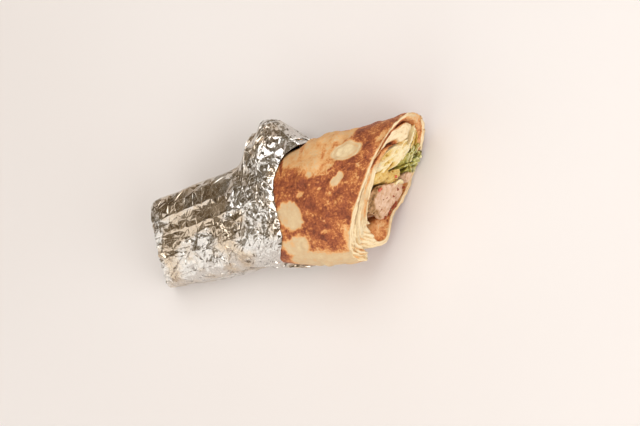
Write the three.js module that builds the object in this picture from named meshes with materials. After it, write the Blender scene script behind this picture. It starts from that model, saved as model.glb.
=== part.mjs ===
// One half of a naan wrap: a flatbread rolled round chicken and salad, cut on the slant, its closed end
// held in crumpled foil. It lies on its flat underside, with +X towards the cut and +Z up. The origin is
// at the middle of the footprint. All sizes are in millimetres.
//
// Every piece is drawn once in the "plan section", the roll's cross section where it is cut, and lofted
// along the roll. The roll is narrower towards its closed end, so the plan section shrinks with it.
import * as THREE from 'three';

// ---- Driving dimensions -------------------------------------------------------------------------------
const LENGTH = 167; // closed end to the pointed tip of the cut
const CUT_SLANT = THREE.MathUtils.degToRad(33); // turn of the cut away from square
const PLAN_WIDTH = 72; // plan section, across
const PLAN_HEIGHT = 54; // plan section, floor to top
const PLAN_BELLY = 1.5; // how far the round underside would bulge below the flat that it rests on
const NEAR_SQUARENESS = 2.9; // superellipse exponent of the near (-Y) half of the plan section
const FAR_SQUARENESS = 2.35; // and of the far half
const TUCK_SLOPE = 0.45; // the near bottom corner is drawn in along a slope as it comes to the cut
const TUCK_START = -3; // where across the section that slope meets the floor

const BREAD_THICKNESS = 4; // rolled sheet
const WALL_THICKNESS = 8; // the sheet puffs up along the near side
const CURL_THICKNESS = 8; // and at its inner end, which curls down the far side
const BREAD_START = 3; // closed end of the bread, inside the foil
const END_ROUND = 6; // rounding of the closed end
const END_RADIUS = 24; // half width that the rounding is measured against

const FOIL_WALL = 0.9;
const FOIL_GAP = 0.7; // clearance from the bread
const FOIL_CREASE = 1.3; // height of the creases
const FOIL_FLARE = 1.2; // the rim stands off the bread at the far top
const FLARE_LENGTH = 12;
const END_FOLD = 5; // the folded end stands out past the bread
const TOE_LENGTH = 16; // and runs out further along the floor, low on the near side
const TOE_BLEND = 45; // length of the sleeve that the folded end fades into
const FOIL_SLACK = 3; // near the closed end the foil stands off along its far top and near bottom edges
const COLLAR_RIDGE = 8; // degrees from the far side of the ridge where the slack foil is pinched out
const COLLAR_SPREAD = 46; // degrees from that ridge to where the foil lies on the bread again

const FILLING_START = 12; // closed end of the fillings

// ---- Laws of the roll along its length: [distance from the closed end, size] ----------------------------
/** A smooth function through stations. */
function law(stations) {
  const at = stations.map(([position]) => position);
  const values = stations.map(([, value]) => value);
  const curve = new THREE.CubicInterpolant(at, values, 1, [0]);
  return (position) => curve.evaluate(position)[0];
}

const nearSide = law([[0, -19.5], [16, -21], [52, -23], [70, -26], [90, -32.2], [108, -35.4], [LENGTH, -36]]);
const farSide = law([[0, 24.5], [16, 26.2], [55, 31.5], [86, 34.2], [120, 35.2], [LENGTH, 36]]);
const thickness = law([
  [0, 29],
  [30, 34.5],
  [80, 45],
  [108, 50.8],
  [135, PLAN_HEIGHT],
  [LENGTH, PLAN_HEIGHT],
]);
const underlay = FOIL_WALL + FOIL_GAP;
const lift = law([[0, underlay], [96, underlay], [112, underlay], [130, 0.1], [142, 0], [LENGTH, 0]]);

// ---- Plan section ---------------------------------------------------------------------------------------
const halfWidth = PLAN_WIDTH / 2;
const halfHeight = PLAN_HEIGHT / 2;
const cutAtAxis = LENGTH - halfWidth * Math.tan(CUT_SLANT);

/** Greater of two lengths, with the corner between them rounded off. */
function roundedMax(a, b, rounding = 5) {
  const overlap = Math.max(rounding - Math.abs(a - b), 0) / rounding;
  return Math.max(a, b) + (overlap * overlap * rounding) / 4;
}

/**
 * A point of the plan section, at an angle from the far side and a depth inside the outline. The tuck
 * runs from 0 for the plain round section to 1 for the section at the cut.
 */
function planPoint(angle, depth = 0, tuck = 0) {
  const c = Math.cos(angle);
  const s = Math.sin(angle);
  const power = 2 / (c < 0 ? NEAR_SQUARENESS : FAR_SQUARENESS);
  const rise = s > 0 ? halfHeight : halfHeight + PLAN_BELLY;
  const y = (halfWidth - depth) * Math.sign(c) * Math.abs(c) ** power;
  const z = halfHeight + (rise - depth) * Math.sign(s) * Math.abs(s) ** power;
  const slope = TUCK_SLOPE * tuck;
  const tucked = slope * (TUCK_START - y) + depth * Math.hypot(1, slope);
  return new THREE.Vector2(y, Math.max(roundedMax(z, tucked), depth));
}

/** Share of the full section left at a distance past a rounded closed end. */
function endShare(distance) {
  const past = THREE.MathUtils.clamp(1 - distance / END_ROUND, 0, 1);
  return 1 - (END_ROUND / END_RADIUS) * (1 - Math.sqrt(1 - past * past));
}

/** Sets a point of the plan section into the roll at x. */
function inRoll(point, x, share = 1) {
  const near = nearSide(x);
  const far = farSide(x);
  const across = ((far - near) / PLAN_WIDTH) * share;
  const up = (point.y - halfHeight) * share + halfHeight;
  const z = lift(x) + (up * thickness(x)) / PLAN_HEIGHT;
  return new THREE.Vector3(x, (near + far) / 2 + point.x * across, z);
}

/** The same, at a share of the way from start to the slanted cut, or to a plane that stands proud of it. */
function towardsCut(point, start, share, proud = 0) {
  let placed = inRoll(point, start);
  for (let pass = 0; pass < 6; pass += 1) {
    const end = cutAtAxis + placed.y * Math.tan(CUT_SLANT) + proud;
    const x = start + (end - start) * share;
    placed = inRoll(point, x, endShare(x - BREAD_START));
  }
  return placed;
}

// ---- Meshes ---------------------------------------------------------------------------------------------
/** A closed mesh through rings of equal length, with its two ends closed by the given triangles. */
function loft(rings, endTriangles) {
  const count = rings[0].length;
  const index = [];
  for (let r = 0; r + 1 < rings.length; r += 1) {
    for (let i = 0; i < count; i += 1) {
      const a = r * count + i;
      const b = r * count + ((i + 1) % count);
      index.push(a, b, b + count, a, b + count, a + count);
    }
  }
  const last = (rings.length - 1) * count;
  for (const [a, b, c] of endTriangles) {
    index.push(a, c, b, last + a, last + b, last + c);
  }
  const geometry = new THREE.BufferGeometry().setFromPoints(rings.flat());
  geometry.setIndex(index);
  return geometry;
}

function named(name, geometry, color, roughness, metalness = 0) {
  const mesh = new THREE.Mesh(geometry, new THREE.MeshStandardMaterial({ color, roughness, metalness }));
  mesh.name = name;
  return mesh;
}

/** Evenly spread numbers from first to last. */
function spread(first, last, steps) {
  return Array.from({ length: steps + 1 }, (_, i) => THREE.MathUtils.lerp(first, last, i / steps));
}

// ---- Naan: one sheet, rolled inwards through a turn and a half ------------------------------------------
const OUTER_END = 186; // degrees from the far side: half way up the near side
const INNER_END = -373; // down the far side, inside the first turn
const sheetDepth = law([
  [INNER_END, 5.8],
  [-340, 5.8],
  [-305, 5.6],
  [-285, 6.8],
  [-265, 9],
  [-245, 9.8],
  [-205, 9.4],
  [-176, 7.8],
  [-150, 3.6],
  [-110, 0.1],
  [-80, 0],
  [OUTER_END, 0],
]);
const sheetThickness = law([
  [INNER_END, CURL_THICKNESS * 0.7],
  [-358, CURL_THICKNESS],
  [-325, CURL_THICKNESS],
  [-285, BREAD_THICKNESS],
  [-260, BREAD_THICKNESS],
  [70, BREAD_THICKNESS],
  [95, BREAD_THICKNESS],
  [138, WALL_THICKNESS],
  [170, WALL_THICKNESS],
  [OUTER_END, BREAD_THICKNESS],
]);

/** The rolled sheet's outline in the plan section: in along its inner face, back along its outer one. */
function sheetOutline(angles, tuck) {
  const middle = angles.map((degrees) => {
    const depth = sheetDepth(degrees) + sheetThickness(degrees) / 2;
    return planPoint(THREE.MathUtils.degToRad(degrees), depth, tuck);
  });
  const last = middle.length - 1;
  const face = (side) =>
    middle.map((point, i) => {
      const run = middle[Math.min(i + 1, last)].clone().sub(middle[Math.max(i - 1, 0)]).normalize();
      const reach = (side * sheetThickness(angles[i])) / 2;
      return new THREE.Vector2(point.x - run.y * reach, Math.max(point.y + run.x * reach, 0));
    });
  return [...face(-1), ...face(1).reverse()];
}

function makeNaan() {
  const turns = 84;
  const angles = spread(OUTER_END, INNER_END, turns);
  const rings = spread(0, 1, 12).map((share) =>
    sheetOutline(angles, THREE.MathUtils.smoothstep(share, 0.55, 0.95)).map((point) =>
      towardsCut(point, BREAD_START, share),
    ),
  );
  const ends = [];
  for (let i = 0; i < turns; i += 1) {
    const across = 2 * turns + 1 - i;
    ends.push([i, i + 1, across - 1], [i, across - 1, across]);
  }
  return named('naan', loft(rings, ends), 0xb5713f, 0.85);
}

// ---- Fillings: each runs from the closed end through to the cut -----------------------------------------
/** A filling with a smooth outline through points of the plan section, lumpy along its length. */
function makeFilling(name, points, { color, roughness, lumps = 0, proud = 0 }) {
  const sides = 22;
  const corners = points.map(([y, z]) => new THREE.Vector3(y, z, 0));
  const curve = new THREE.CatmullRomCurve3(corners, true, 'centripetal');
  const outline = curve.getSpacedPoints(sides).slice(0, sides).map((p) => new THREE.Vector2(p.x, p.y));
  const centre = outline.reduce((sum, p) => sum.add(p), new THREE.Vector2()).divideScalar(sides);
  const rings = spread(0, 1, 9).map((share) => {
    const size = Math.min(1, 0.6 + share * 4) * (1 - lumps * Math.sin(share * Math.PI * 5) ** 2);
    return outline.map((p) =>
      towardsCut(p.clone().sub(centre).multiplyScalar(size).add(centre), FILLING_START, share, proud),
    );
  });
  return named(name, loft(rings, THREE.ShapeUtils.triangulateShape(outline, [])), color, roughness);
}

function makeFillings() {
  return [
    makeFilling(
      'chicken_large',
      [
        [-3.5, 39.4], [-11, 38], [-16, 30], [-16.2, 18.5], [-10.5, 10.2],
        [-4.5, 7.6], [0.2, 10.4], [2.4, 19], [2.2, 28.5], [1, 35.5],
      ],
      { color: 0xd9b294, roughness: 0.6, lumps: 0.06, proud: 1 },
    ),
    makeFilling(
      'chicken_small',
      [[5.2, 14], [3, 11.4], [2, 7.8], [4.4, 5.5], [7.2, 6], [8.1, 9.4], [7.3, 13]],
      { color: 0xdcb89a, roughness: 0.6, lumps: 0.1, proud: 0.5 },
    ),
    makeFilling(
      'pale_leaf',
      [
        [9.8, 41.2], [6.2, 40], [5.2, 36.6], [6.4, 32], [7.2, 26], [9, 20.4],
        [13, 15.6], [18.4, 14.4], [21.2, 18], [20.8, 24], [18.6, 33], [14.4, 39.4],
      ],
      { color: 0xe3d3a0, roughness: 0.5, proud: 1.2 },
    ),
    makeFilling(
      'onion_relish',
      [
        [3.2, 40], [1.6, 38.4], [2.8, 34], [3.2, 27.4], [3.4, 19.6],
        [5, 17.4], [7.4, 18], [6.4, 24], [5.4, 30], [4.4, 36],
      ],
      { color: 0xc9a355, roughness: 0.45, proud: -0.5 },
    ),
    makeFilling(
      'green_lettuce',
      [
        [12.2, 14.4], [9, 18], [8.8, 12], [9.8, 8], [12.8, 5.8],
        [17, 5.8], [21.6, 8.4], [25, 13], [23, 15.4], [18.6, 12.8],
      ],
      { color: 0x8f9a4a, roughness: 0.5, proud: 1.5 },
    ),
  ];
}

// ---- Foil: a closed sleeve with a flat end and a slanted, flared rim ------------------------------------
/** Distance of the rim from the closed end, by degrees from the far side. */
const rimAt = law([
  [-180, 73],
  [-162, 83],
  [-135, 95],
  [-90, 99],
  [-45, 104],
  [0, 105],
  [30, 98],
  [60, 90],
  [90, 86],
  [125, 82.5],
  [150, 77],
  [180, 73],
]);

/** Height of the creases: two sets of straight folds that cross. */
function crease(degrees, x) {
  const fold = (s) => Math.abs(s - Math.round(s)) * 2;
  const around = degrees / 360;
  return FOIL_CREASE * (0.6 * fold(around * 7 + x / 31) + 0.4 * fold(around * 11 - x / 19));
}

/** Height of the collar, the pinched fold on the far side, by distance from the closed end. */
const collarAt = law([
  [52, 0],
  [60, 2.5],
  [66, 8.5],
  [71, 15.5],
  [77, 19],
  [85, 17],
  [96, 9],
  [105, 2],
  [110, 0],
]);

/** A smooth bump, 1 at its centre and nearly 0 beyond twice its reach. */
function bell(value, centre, reach) {
  return Math.exp(-(((value - centre) / reach) ** 2));
}

/** How far the foil reaches out past the closed end at a point of the sleeve. */
function toe(point) {
  const low = 1 - point.z / thickness(0);
  const near = THREE.MathUtils.smoothstep(-point.y, nearSide(0) * 0.75, -nearSide(0) * 0.6);
  const reach = END_FOLD + TOE_LENGTH * Math.max(low, 0) * near;
  return reach * (1 - THREE.MathUtils.smoothstep(point.x, 0, TOE_BLEND));
}

/** How far the foil hangs loose off the bread, over and above its gap. */
function looseness(degrees, x) {
  const edges = bell(degrees, 40, 25) + bell(degrees, -145, 22);
  const slack = FOIL_SLACK * edges * (1 - THREE.MathUtils.smoothstep(x, 30, 55));
  const collar = collarAt(x) * Math.max(1 - Math.abs(degrees - COLLAR_RIDGE) / COLLAR_SPREAD, 0);
  return slack + collar;
}

/** A ring of the foil that stands a distance off the bread, a share of the way from start to the rim. */
function foilRing(angles, start, share, { off, creased }) {
  const skin = (degrees, x) =>
    inRoll(planPoint(THREE.MathUtils.degToRad(degrees)), x, endShare(x - start));
  return angles.map((degrees) => {
    const rim = rimAt(degrees);
    const x = start + (rim - start) * share;
    const point = skin(degrees, x);
    const along = skin(degrees + 2, x).sub(skin(degrees - 2, x)).normalize();
    const lean = Math.max(0, Math.cos(THREE.MathUtils.degToRad(degrees - 36)));
    const flare = FOIL_FLARE * lean * THREE.MathUtils.smoothstep(x, rim - FLARE_LENGTH, rim);
    const reach = off + flare + looseness(degrees, x) + (creased ? crease(degrees, x) : 0);
    const lowest = creased ? 0 : FOIL_WALL;
    point.set(x, point.y + along.z * reach, Math.max(point.z - along.y * reach, lowest));
    point.x -= toe(point);
    return point;
  });
}

function makeFoil() {
  const sides = 54;
  const angles = spread(-180, 180, sides).slice(0, sides);
  const shares = spread(0, 1, 14).map((share) => share ** 1.3);
  const outer = { off: FOIL_GAP + FOIL_WALL, creased: true };
  const inner = { off: FOIL_GAP, creased: false };
  const rings = [
    ...shares.map((share) => foilRing(angles, 0, share, outer)),
    ...shares.map((share) => foilRing(angles, FOIL_WALL * 2, share, inner)).reverse(),
  ];
  const plan = angles.map((degrees) => planPoint(THREE.MathUtils.degToRad(degrees)));
  return named('foil', loft(rings, THREE.ShapeUtils.triangulateShape(plan, [])), 0xb8b4ae, 0.25, 1);
}

// ---- The whole ------------------------------------------------------------------------------------------
const wrap = new THREE.Group();
wrap.name = 'naan_wrap';
wrap.add(makeFoil(), makeNaan(), ...makeFillings());

const extent = new THREE.Box3().setFromObject(wrap);
wrap.position.copy(extent.getCenter(new THREE.Vector3())).negate();
wrap.position.z = -extent.min.z;

export default wrap;
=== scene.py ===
"""Looks for half a naan wrap: griddled flatbread rolled round chicken and salad, its closed end in foil.

Lengths are in millimetres until a piece is finished, and each piece is drawn in the roll's own axes: x from
the closed end towards the cut, y across from the near side to the far side, and z up from the floor.
"""

import itertools
import logging
import math
from collections.abc import Mapping, Sequence
from dataclasses import dataclass, field
from enum import Enum
from typing import Any

import bmesh
import bpy
import numpy as np
from mathutils import Matrix, Vector


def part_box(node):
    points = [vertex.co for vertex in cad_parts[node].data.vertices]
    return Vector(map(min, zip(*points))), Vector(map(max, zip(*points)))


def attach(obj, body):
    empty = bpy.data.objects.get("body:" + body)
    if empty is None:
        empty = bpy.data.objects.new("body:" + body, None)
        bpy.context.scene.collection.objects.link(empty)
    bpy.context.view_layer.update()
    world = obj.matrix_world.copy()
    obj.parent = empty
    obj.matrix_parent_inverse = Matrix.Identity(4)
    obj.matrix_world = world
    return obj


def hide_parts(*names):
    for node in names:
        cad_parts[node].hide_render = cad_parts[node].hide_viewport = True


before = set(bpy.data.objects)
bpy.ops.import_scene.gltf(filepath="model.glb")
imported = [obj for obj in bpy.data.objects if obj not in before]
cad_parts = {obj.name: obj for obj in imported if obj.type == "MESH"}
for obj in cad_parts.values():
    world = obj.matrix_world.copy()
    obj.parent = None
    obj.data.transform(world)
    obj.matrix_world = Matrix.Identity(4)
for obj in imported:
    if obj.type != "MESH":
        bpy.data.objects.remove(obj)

LOG = logging.getLogger("naan_wrap")
Array = np.ndarray
MM = 0.001

# ---- The roll's own dimensions, as the part has them -------------------------------------------------
LENGTH = 167.0
CUT_TANGENT = math.tan(math.radians(33.0))
PLAN_WIDTH = 72.0
PLAN_HEIGHT = 54.0
PLAN_BELLY = 1.5
NEAR_SQUARENESS = 2.9
FAR_SQUARENESS = 2.35
TUCK_SLOPE = 0.45
TUCK_START = -3.0
BREAD_START = 3.0
END_FOLD = 5.0
TOE_LENGTH = 16.0
TOE_BLEND = 45.0
FOIL_SLACK = 3.0
COLLAR_RIDGE = 8.0
COLLAR_SPREAD = 46.0
END_ROUND = 6.0
END_RADIUS = 24.0
FILLING_START = 12.0
OUTER_END = 186.0
INNER_END = -373.0
SHEET_STEP = (OUTER_END - INNER_END) / 84

AT_CUT = 0.9999  # beyond this share of the way, a place is on the cut face
CRUMB_TOAST = 0.14  # the toasting of bare crumb, from 0 for raw to 1 for burnt
PALE_BELOW = 0.3  # patches toasted less than this missed the griddle
FILM_WIDTH = 36.0


# ---- Sums shared by the pieces -----------------------------------------------------------------------
def smooth_step(value: Array | float, low: float | Array, high: float | Array) -> Array:
    """Rises smoothly from 0 to 1.

    Args:
        value: The numbers to judge.
        low: Where the rise starts.
        high: Where the rise ends.

    Returns:
        A share from 0 to 1 for each number.
    """
    share = np.clip((value - low) / (high - low), 0.0, 1.0)
    return share * share * (3.0 - 2.0 * share)


def fade_out(value: Array | float, low: float | Array, high: float | Array) -> Array:
    """Falls smoothly from 1 at the low number to 0 at the high one."""
    return 1 - smooth_step(value, low, high)


def blend(base: Array | float, over: Array | float, share: Array) -> Array:
    """Mixes two sets of numbers, with this share of the second."""
    return base * (1 - share) + over * share


def bell(value: Array, centre: float | Array, reach: float) -> Array:
    """A smooth bump.

    Args:
        value: The numbers to judge.
        centre: Where the bump is highest.
        reach: How far from there it falls to about a third.

    Returns:
        1 at the centre and nearly 0 beyond twice the reach.
    """
    return np.exp(-(((value - centre) / reach) ** 2))


@dataclass(frozen=True)
class Law:
    """A smooth curve through stations, each a position and the size there."""

    stations: tuple[tuple[float, float], ...]

    def __call__(self, position: Array | float) -> Array:
        """Reads the curve.

        Args:
            position: Where to read it. Past either end it keeps its last size.

        Returns:
            The size at each position.
        """
        at, size = (np.array(column, float) for column in zip(*self.stations))
        count = len(at)
        t = np.clip(position, at[0], at[-1])
        i = np.clip(np.searchsorted(at, t, side="right"), 1, count - 1)
        t0, t1 = at[i - 1], at[i]
        has_before, has_after = i >= 2, i + 1 < count
        before, after = np.where(has_before, i - 2, i), np.where(has_after, i + 1, i - 1)
        half = (t1 - t0) / 2.0
        lean_before = half / (t0 - np.where(has_before, at[before], t1))
        lean_after = half / (np.where(has_after, at[after], t0) - t1)
        p = (t - t0) / (t1 - t0)
        p2, p3 = p * p, p * p * p
        return (
            size[before] * (-lean_before * p3 + 2 * lean_before * p2 - lean_before * p)
            + size[i - 1]
            * ((1 + lean_before) * p3 + (-1.5 - 2 * lean_before) * p2 + (lean_before - 0.5) * p + 1)
            + size[i] * ((-1 - lean_after) * p3 + (1.5 + lean_after) * p2 + 0.5 * p)
            + size[after] * (lean_after * p3 - lean_after * p2)
        )


class Noise:
    """Smooth random waves in space, the same for the same seed."""

    def __init__(self, seed: int) -> None:
        """Draws the lattice of slopes that the waves come from.

        Args:
            seed: Fixes the lattice.
        """
        draw = np.random.default_rng(seed)
        slopes = draw.normal(size=(256, 3))
        self.slopes = slopes / np.linalg.norm(slopes, axis=1)[:, None]
        self.order = draw.permutation(256)

    def wave(self, points: Array) -> Array:
        """Reads one layer of waves.

        Args:
            points: Places, three numbers each, in wavelengths.

        Returns:
            A height from about -1 to 1 for each place.
        """
        cell = np.floor(points).astype(int)
        inside = points - cell
        fade = inside**3 * (inside * (inside * 6 - 15) + 10)
        total = np.zeros(len(points))
        for corner in itertools.product((0, 1), repeat=3):
            pick = cell + corner
            mixed = self.order[pick[:, 0] & 255]
            mixed = self.order[(mixed + pick[:, 1]) & 255]
            mixed = self.order[(mixed + pick[:, 2]) & 255]
            weight = np.prod(np.where(corner, fade, 1 - fade), axis=1)
            total += weight * np.sum((inside - corner) * self.slopes[mixed], axis=1)
        return total * 1.6

    def layers(self, points: Array, octaves: int = 3) -> Array:
        """Adds finer and finer waves, each half as high as the last.

        Args:
            points: Places, three numbers each, in the longest wavelength.
            octaves: How many layers.

        Returns:
            A height from about -1 to 1 for each place.
        """
        return sum(self.wave(points * 2**i + 7.3 * i) / 2**i for i in range(octaves)) / 1.6

    def domes(self, points: Array, radius: float, share: float) -> Array:
        """Scatters round domes, one at most in each cell of a jittered lattice.

        Args:
            points: Places in the plane, two numbers each, in lattice steps.
            radius: Radius of the largest dome, in lattice steps.
            share: Share of the cells that have a dome.

        Returns:
            The height of the dome at each place, from 0 to 1.
        """
        cell = np.floor(points[:, :2]).astype(int)
        height = np.zeros(len(points))
        for step in itertools.product((-1, 0, 1), repeat=2):
            pick = cell + step
            key = self.order[(self.order[pick[:, 0] & 255] + pick[:, 1]) & 255]
            centre = pick + 0.5 + 0.35 * self.slopes[key][:, :2]
            reach = radius * (0.45 + 0.55 * np.abs(self.slopes[key][:, 2]))
            gap = np.linalg.norm(points[:, :2] - centre, axis=1) / reach
            height = np.maximum(height, np.where(key < 256 * share, np.clip(1 - gap**2, 0, 1), 0))
        return height


def plane(first: Array, second: Array, third: float | Array = 0.0) -> Array:
    """Three columns of coordinates from separate numbers.

    Args:
        first: The first coordinate of each place.
        second: The second.
        third: The third.

    Returns:
        One row of three numbers for each place.
    """
    return np.stack([first, second, np.broadcast_to(third, first.shape)], axis=-1)


def ring(radians: Array, radius: float | Array, along: float | Array = 0.0) -> Array:
    """Places on a tube, so that what is read there closes on itself, one row of three numbers each."""
    return plane(np.cos(radians) * radius, np.sin(radians) * radius, along)


def beside(points: Array, run: Array, distance: Array) -> Array:
    """Moves points of the plan section sideways off a line.

    Args:
        points: Across and up for each point.
        run: The way the line runs there, of any length.
        distance: How far each point moves to the left of that way.

    Returns:
        Across and up for each moved point.
    """
    run = run / np.linalg.norm(run, axis=1)[:, None]
    return points + np.stack([-run[:, 1], run[:, 0]], axis=-1) * distance[:, None]


# ---- The roll ----------------------------------------------------------------------------------------
@dataclass(frozen=True)
class Roll:
    """The space that the wrap is drawn in: its section at the cut, and how that shrinks to the closed end."""

    near_side: Law = Law(
        ((0, -19.5), (16, -21), (52, -23), (70, -26), (90, -32.2), (108, -35.4), (LENGTH, -36))
    )
    far_side: Law = Law(((0, 24.5), (16, 26.2), (55, 31.5), (86, 34.2), (120, 35.2), (LENGTH, 36)))
    thickness: Law = Law(
        ((0, 29), (30, 34.5), (80, 45), (108, 50.8), (135, PLAN_HEIGHT), (LENGTH, PLAN_HEIGHT))
    )
    lift: Law = Law(((0, 1.6), (96, 1.6), (112, 1.6), (130, 0.1), (142, 0), (LENGTH, 0)))
    cut_at_axis: float = LENGTH - PLAN_WIDTH / 2 * CUT_TANGENT

    def section(
        self,
        degrees: Array,
        depth: Array | float = 0.0,
        tuck: Array | float = 0.0,
        boxy: Array | float = 1.0,
    ) -> Array:
        """Points of the plan section.

        Args:
            degrees: Angle from the far side, 90 at the top.
            depth: Distance inside the outline.
            tuck: 0 for the round section, 1 for the one at the cut, whose near bottom corner is drawn in.
            boxy: How many times squarer the section is than the bread's own.

        Returns:
            Across and up for each point.
        """
        angle = np.radians(degrees)
        c, s = np.cos(angle), np.sin(angle)
        power = 2.0 / (np.where(c < 0, NEAR_SQUARENESS, FAR_SQUARENESS) * boxy)
        rise = np.where(s > 0, PLAN_HEIGHT / 2, PLAN_HEIGHT / 2 + PLAN_BELLY)
        y = (PLAN_WIDTH / 2 - depth) * np.sign(c) * np.abs(c) ** power
        z = PLAN_HEIGHT / 2 + (rise - depth) * np.sign(s) * np.abs(s) ** power
        slope = TUCK_SLOPE * tuck
        tucked = slope * (TUCK_START - y) + depth * np.hypot(1.0, slope)
        overlap = np.maximum(5.0 - np.abs(z - tucked), 0.0) / 5.0
        rounded = np.maximum(z, tucked) + overlap * overlap * 5.0 / 4.0
        return np.stack([y, np.maximum(rounded, depth)], axis=-1)

    def end_share(self, distance: Array) -> Array:
        """Share of the full section left at a distance past the rounded closed end."""
        past = np.clip(1 - distance / END_ROUND, 0, 1)
        return 1 - (END_ROUND / END_RADIUS) * (1 - np.sqrt(1 - past * past))

    def set_in(self, section: Array, x: Array, share: Array | float = 1.0) -> Array:
        """Sets points of the plan section into the roll.

        Args:
            section: Across and up in the plan section.
            x: Distance from the closed end.
            share: How much of the full section is left there.

        Returns:
            Places in the roll.
        """
        near, far = self.near_side(x), self.far_side(x)
        across = (far - near) / PLAN_WIDTH * share
        up = (section[:, 1] - PLAN_HEIGHT / 2) * share + PLAN_HEIGHT / 2
        z = self.lift(x) + up * self.thickness(x) / PLAN_HEIGHT
        return np.stack([x, (near + far) / 2 + section[:, 0] * across, z], axis=-1)

    def towards_cut(self, section: Array, start: float, share: Array, proud: Array | float = 0.0) -> Array:
        """Sets points a share of the way from a start to the slanted cut.

        Args:
            section: Across and up in the plan section.
            start: Distance of the start from the closed end.
            share: Share of the way to the cut.
            proud: How far past the cut plane the way ends, along the roll.

        Returns:
            Places in the roll.
        """
        placed = self.set_in(section, np.full(len(section), float(start)))
        for _ in range(6):
            end = self.cut_at_axis + placed[:, 1] * CUT_TANGENT + proud
            x = start + (end - start) * share
            placed = self.set_in(section, x, self.end_share(x - BREAD_START))
        return placed

    def to_frame(self, points: Array) -> Array:
        """Turns places in the roll, in millimetres, into places in the shared frame, in metres."""
        low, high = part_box("naan")
        return points * MM + np.array([low.x - BREAD_START * MM, (low.y + high.y) / 2, low.z])


# ---- Mesh work shared by the pieces ------------------------------------------------------------------
def places(verts: Sequence[bmesh.types.BMVert]) -> Array:
    """The places of some vertices, one row each."""
    return np.array([vert.co[:] for vert in verts], float)


def move(verts: Sequence[bmesh.types.BMVert], points: Array) -> None:
    """Moves each vertex to its own new place."""
    for vert, point in zip(verts, points):
        vert.co = point


def mark(bm: bmesh.types.BMesh, label: str, values: Array) -> None:
    """Gives each vertex a number that its material reads.

    Args:
        bm: The mesh, which is changed.
        label: The name that the material reads it by.
        values: The number of each vertex.
    """
    layer = bm.verts.layers.float.new(label)
    for vert, value in zip(bm.verts, values):
        vert[layer] = value


def slab(rows: int, columns: int, size: float, layers: int) -> bmesh.types.BMesh:
    """Makes a square slab, 1 thick, whose rim is cut into layers.

    Args:
        rows: How many faces it has one way.
        columns: And the other way.
        size: Half of its side.
        layers: How many layers its rim has.

    Returns:
        The slab, round the origin and from 0 to 1 upwards.
    """
    bm = bmesh.new()
    bmesh.ops.create_grid(bm, x_segments=rows, y_segments=columns, size=size)
    raised = bmesh.ops.extrude_face_region(bm, geom=bm.faces[:], use_keep_orig=True)
    verts = [item for item in raised["geom"] if isinstance(item, bmesh.types.BMVert)]
    bmesh.ops.translate(bm, verts=verts, vec=(0.0, 0.0, 1.0))
    rim = [edge for edge in bm.edges if abs(edge.verts[0].co.z - edge.verts[1].co.z) > 0.5]
    bmesh.ops.subdivide_edges(bm, edges=rim, cuts=layers - 1, use_grid_fill=True)
    # Cutting rounds the layers' heights up or down by chance, so they are set again to be the same each run.
    for vert in bm.verts:
        vert.co.z = round(vert.co.z * layers) / layers
    return bm


def thicken(bm: bmesh.types.BMesh, wall: float) -> None:
    """Gives an open sheet its wall, towards its back, by the same distance everywhere.

    Args:
        bm: The sheet, which is changed.
        wall: How thick the wall is.
    """
    backed = bmesh.ops.extrude_face_region(bm, geom=bm.faces[:], use_keep_orig=True)
    verts = [item for item in backed["geom"] if isinstance(item, bmesh.types.BMVert)]
    bm.normal_update()
    for vert in verts:
        vert.co -= vert.normal * wall


@dataclass
class Piece:
    """A finished mesh on its way into the scene."""

    name: str
    node: str | None
    slot: str
    material: bpy.types.Material
    smooth: bool = True

    def place(self, bm: bmesh.types.BMesh, roll: Roll) -> bpy.types.Object:
        """Makes the object, in metres, and ties it to the part.

        Args:
            bm: The mesh in the roll's own axes. It is freed.
            roll: The roll that the mesh was drawn in.

        Returns:
            The object.
        """
        move(bm.verts, roll.to_frame(places(bm.verts)))
        bmesh.ops.recalc_face_normals(bm, faces=bm.faces)
        mesh = bpy.data.meshes.new(self.name)
        bm.to_mesh(mesh)
        bm.free()
        mesh.polygons.foreach_set("use_smooth", [self.smooth] * len(mesh.polygons))
        mesh.materials.append(self.material)
        piece = bpy.data.objects.new(self.name, mesh)
        bpy.context.scene.collection.objects.link(piece)
        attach(piece, "root")
        if self.node:
            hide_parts(self.node)
        triangles = sum(len(face.vertices) - 2 for face in mesh.polygons)
        LOG.info("%s: %d triangles", self.name, triangles)
        return piece


# ---- Finishes ----------------------------------------------------------------------------------------
def linear(colour: str) -> tuple[float, float, float, float]:
    """Turns an sRGB hex colour into linear light.

    Args:
        colour: Six hex digits after a hash.

    Returns:
        Red, green, blue and an alpha of 1.
    """
    parts = [int(colour[i : i + 2], 16) / 255 for i in (1, 3, 5)]
    r, g, b = (p / 12.92 if p <= 0.04045 else ((p + 0.055) / 1.055) ** 2.4 for p in parts)
    return r, g, b, 1.0


def add_node(
    material: bpy.types.Material | bpy.types.World,
    kind: str,
    settings: Mapping[str | int, Any] | None = None,
    links: Mapping[str | int, bpy.types.NodeSocket] | None = None,
    stops: Sequence[tuple[float, str]] = (),
) -> bpy.types.Node:
    """Adds a node with its settings and links.

    Args:
        material: The material that it goes in.
        kind: Its type name.
        settings: Its own properties by name, and constants by socket name or number.
        links: The output that feeds each socket, by socket name or number.
        stops: A colour ramp's positions and colours.

    Returns:
        The node.
    """
    tree = material.node_tree
    node = tree.nodes.new(kind)
    for key, value in (settings or {}).items():
        if isinstance(key, str) and hasattr(node, key):
            setattr(node, key, value)
        else:
            node.inputs[key].default_value = value
    for key, source in (links or {}).items():
        tree.links.new(source, node.inputs[key])
    for i, (position, colour) in enumerate(stops):
        ramp = node.color_ramp.elements
        stop = ramp[i] if i < 2 else ramp.new(position)
        stop.position, stop.color = position, linear(colour)
    return node


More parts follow.
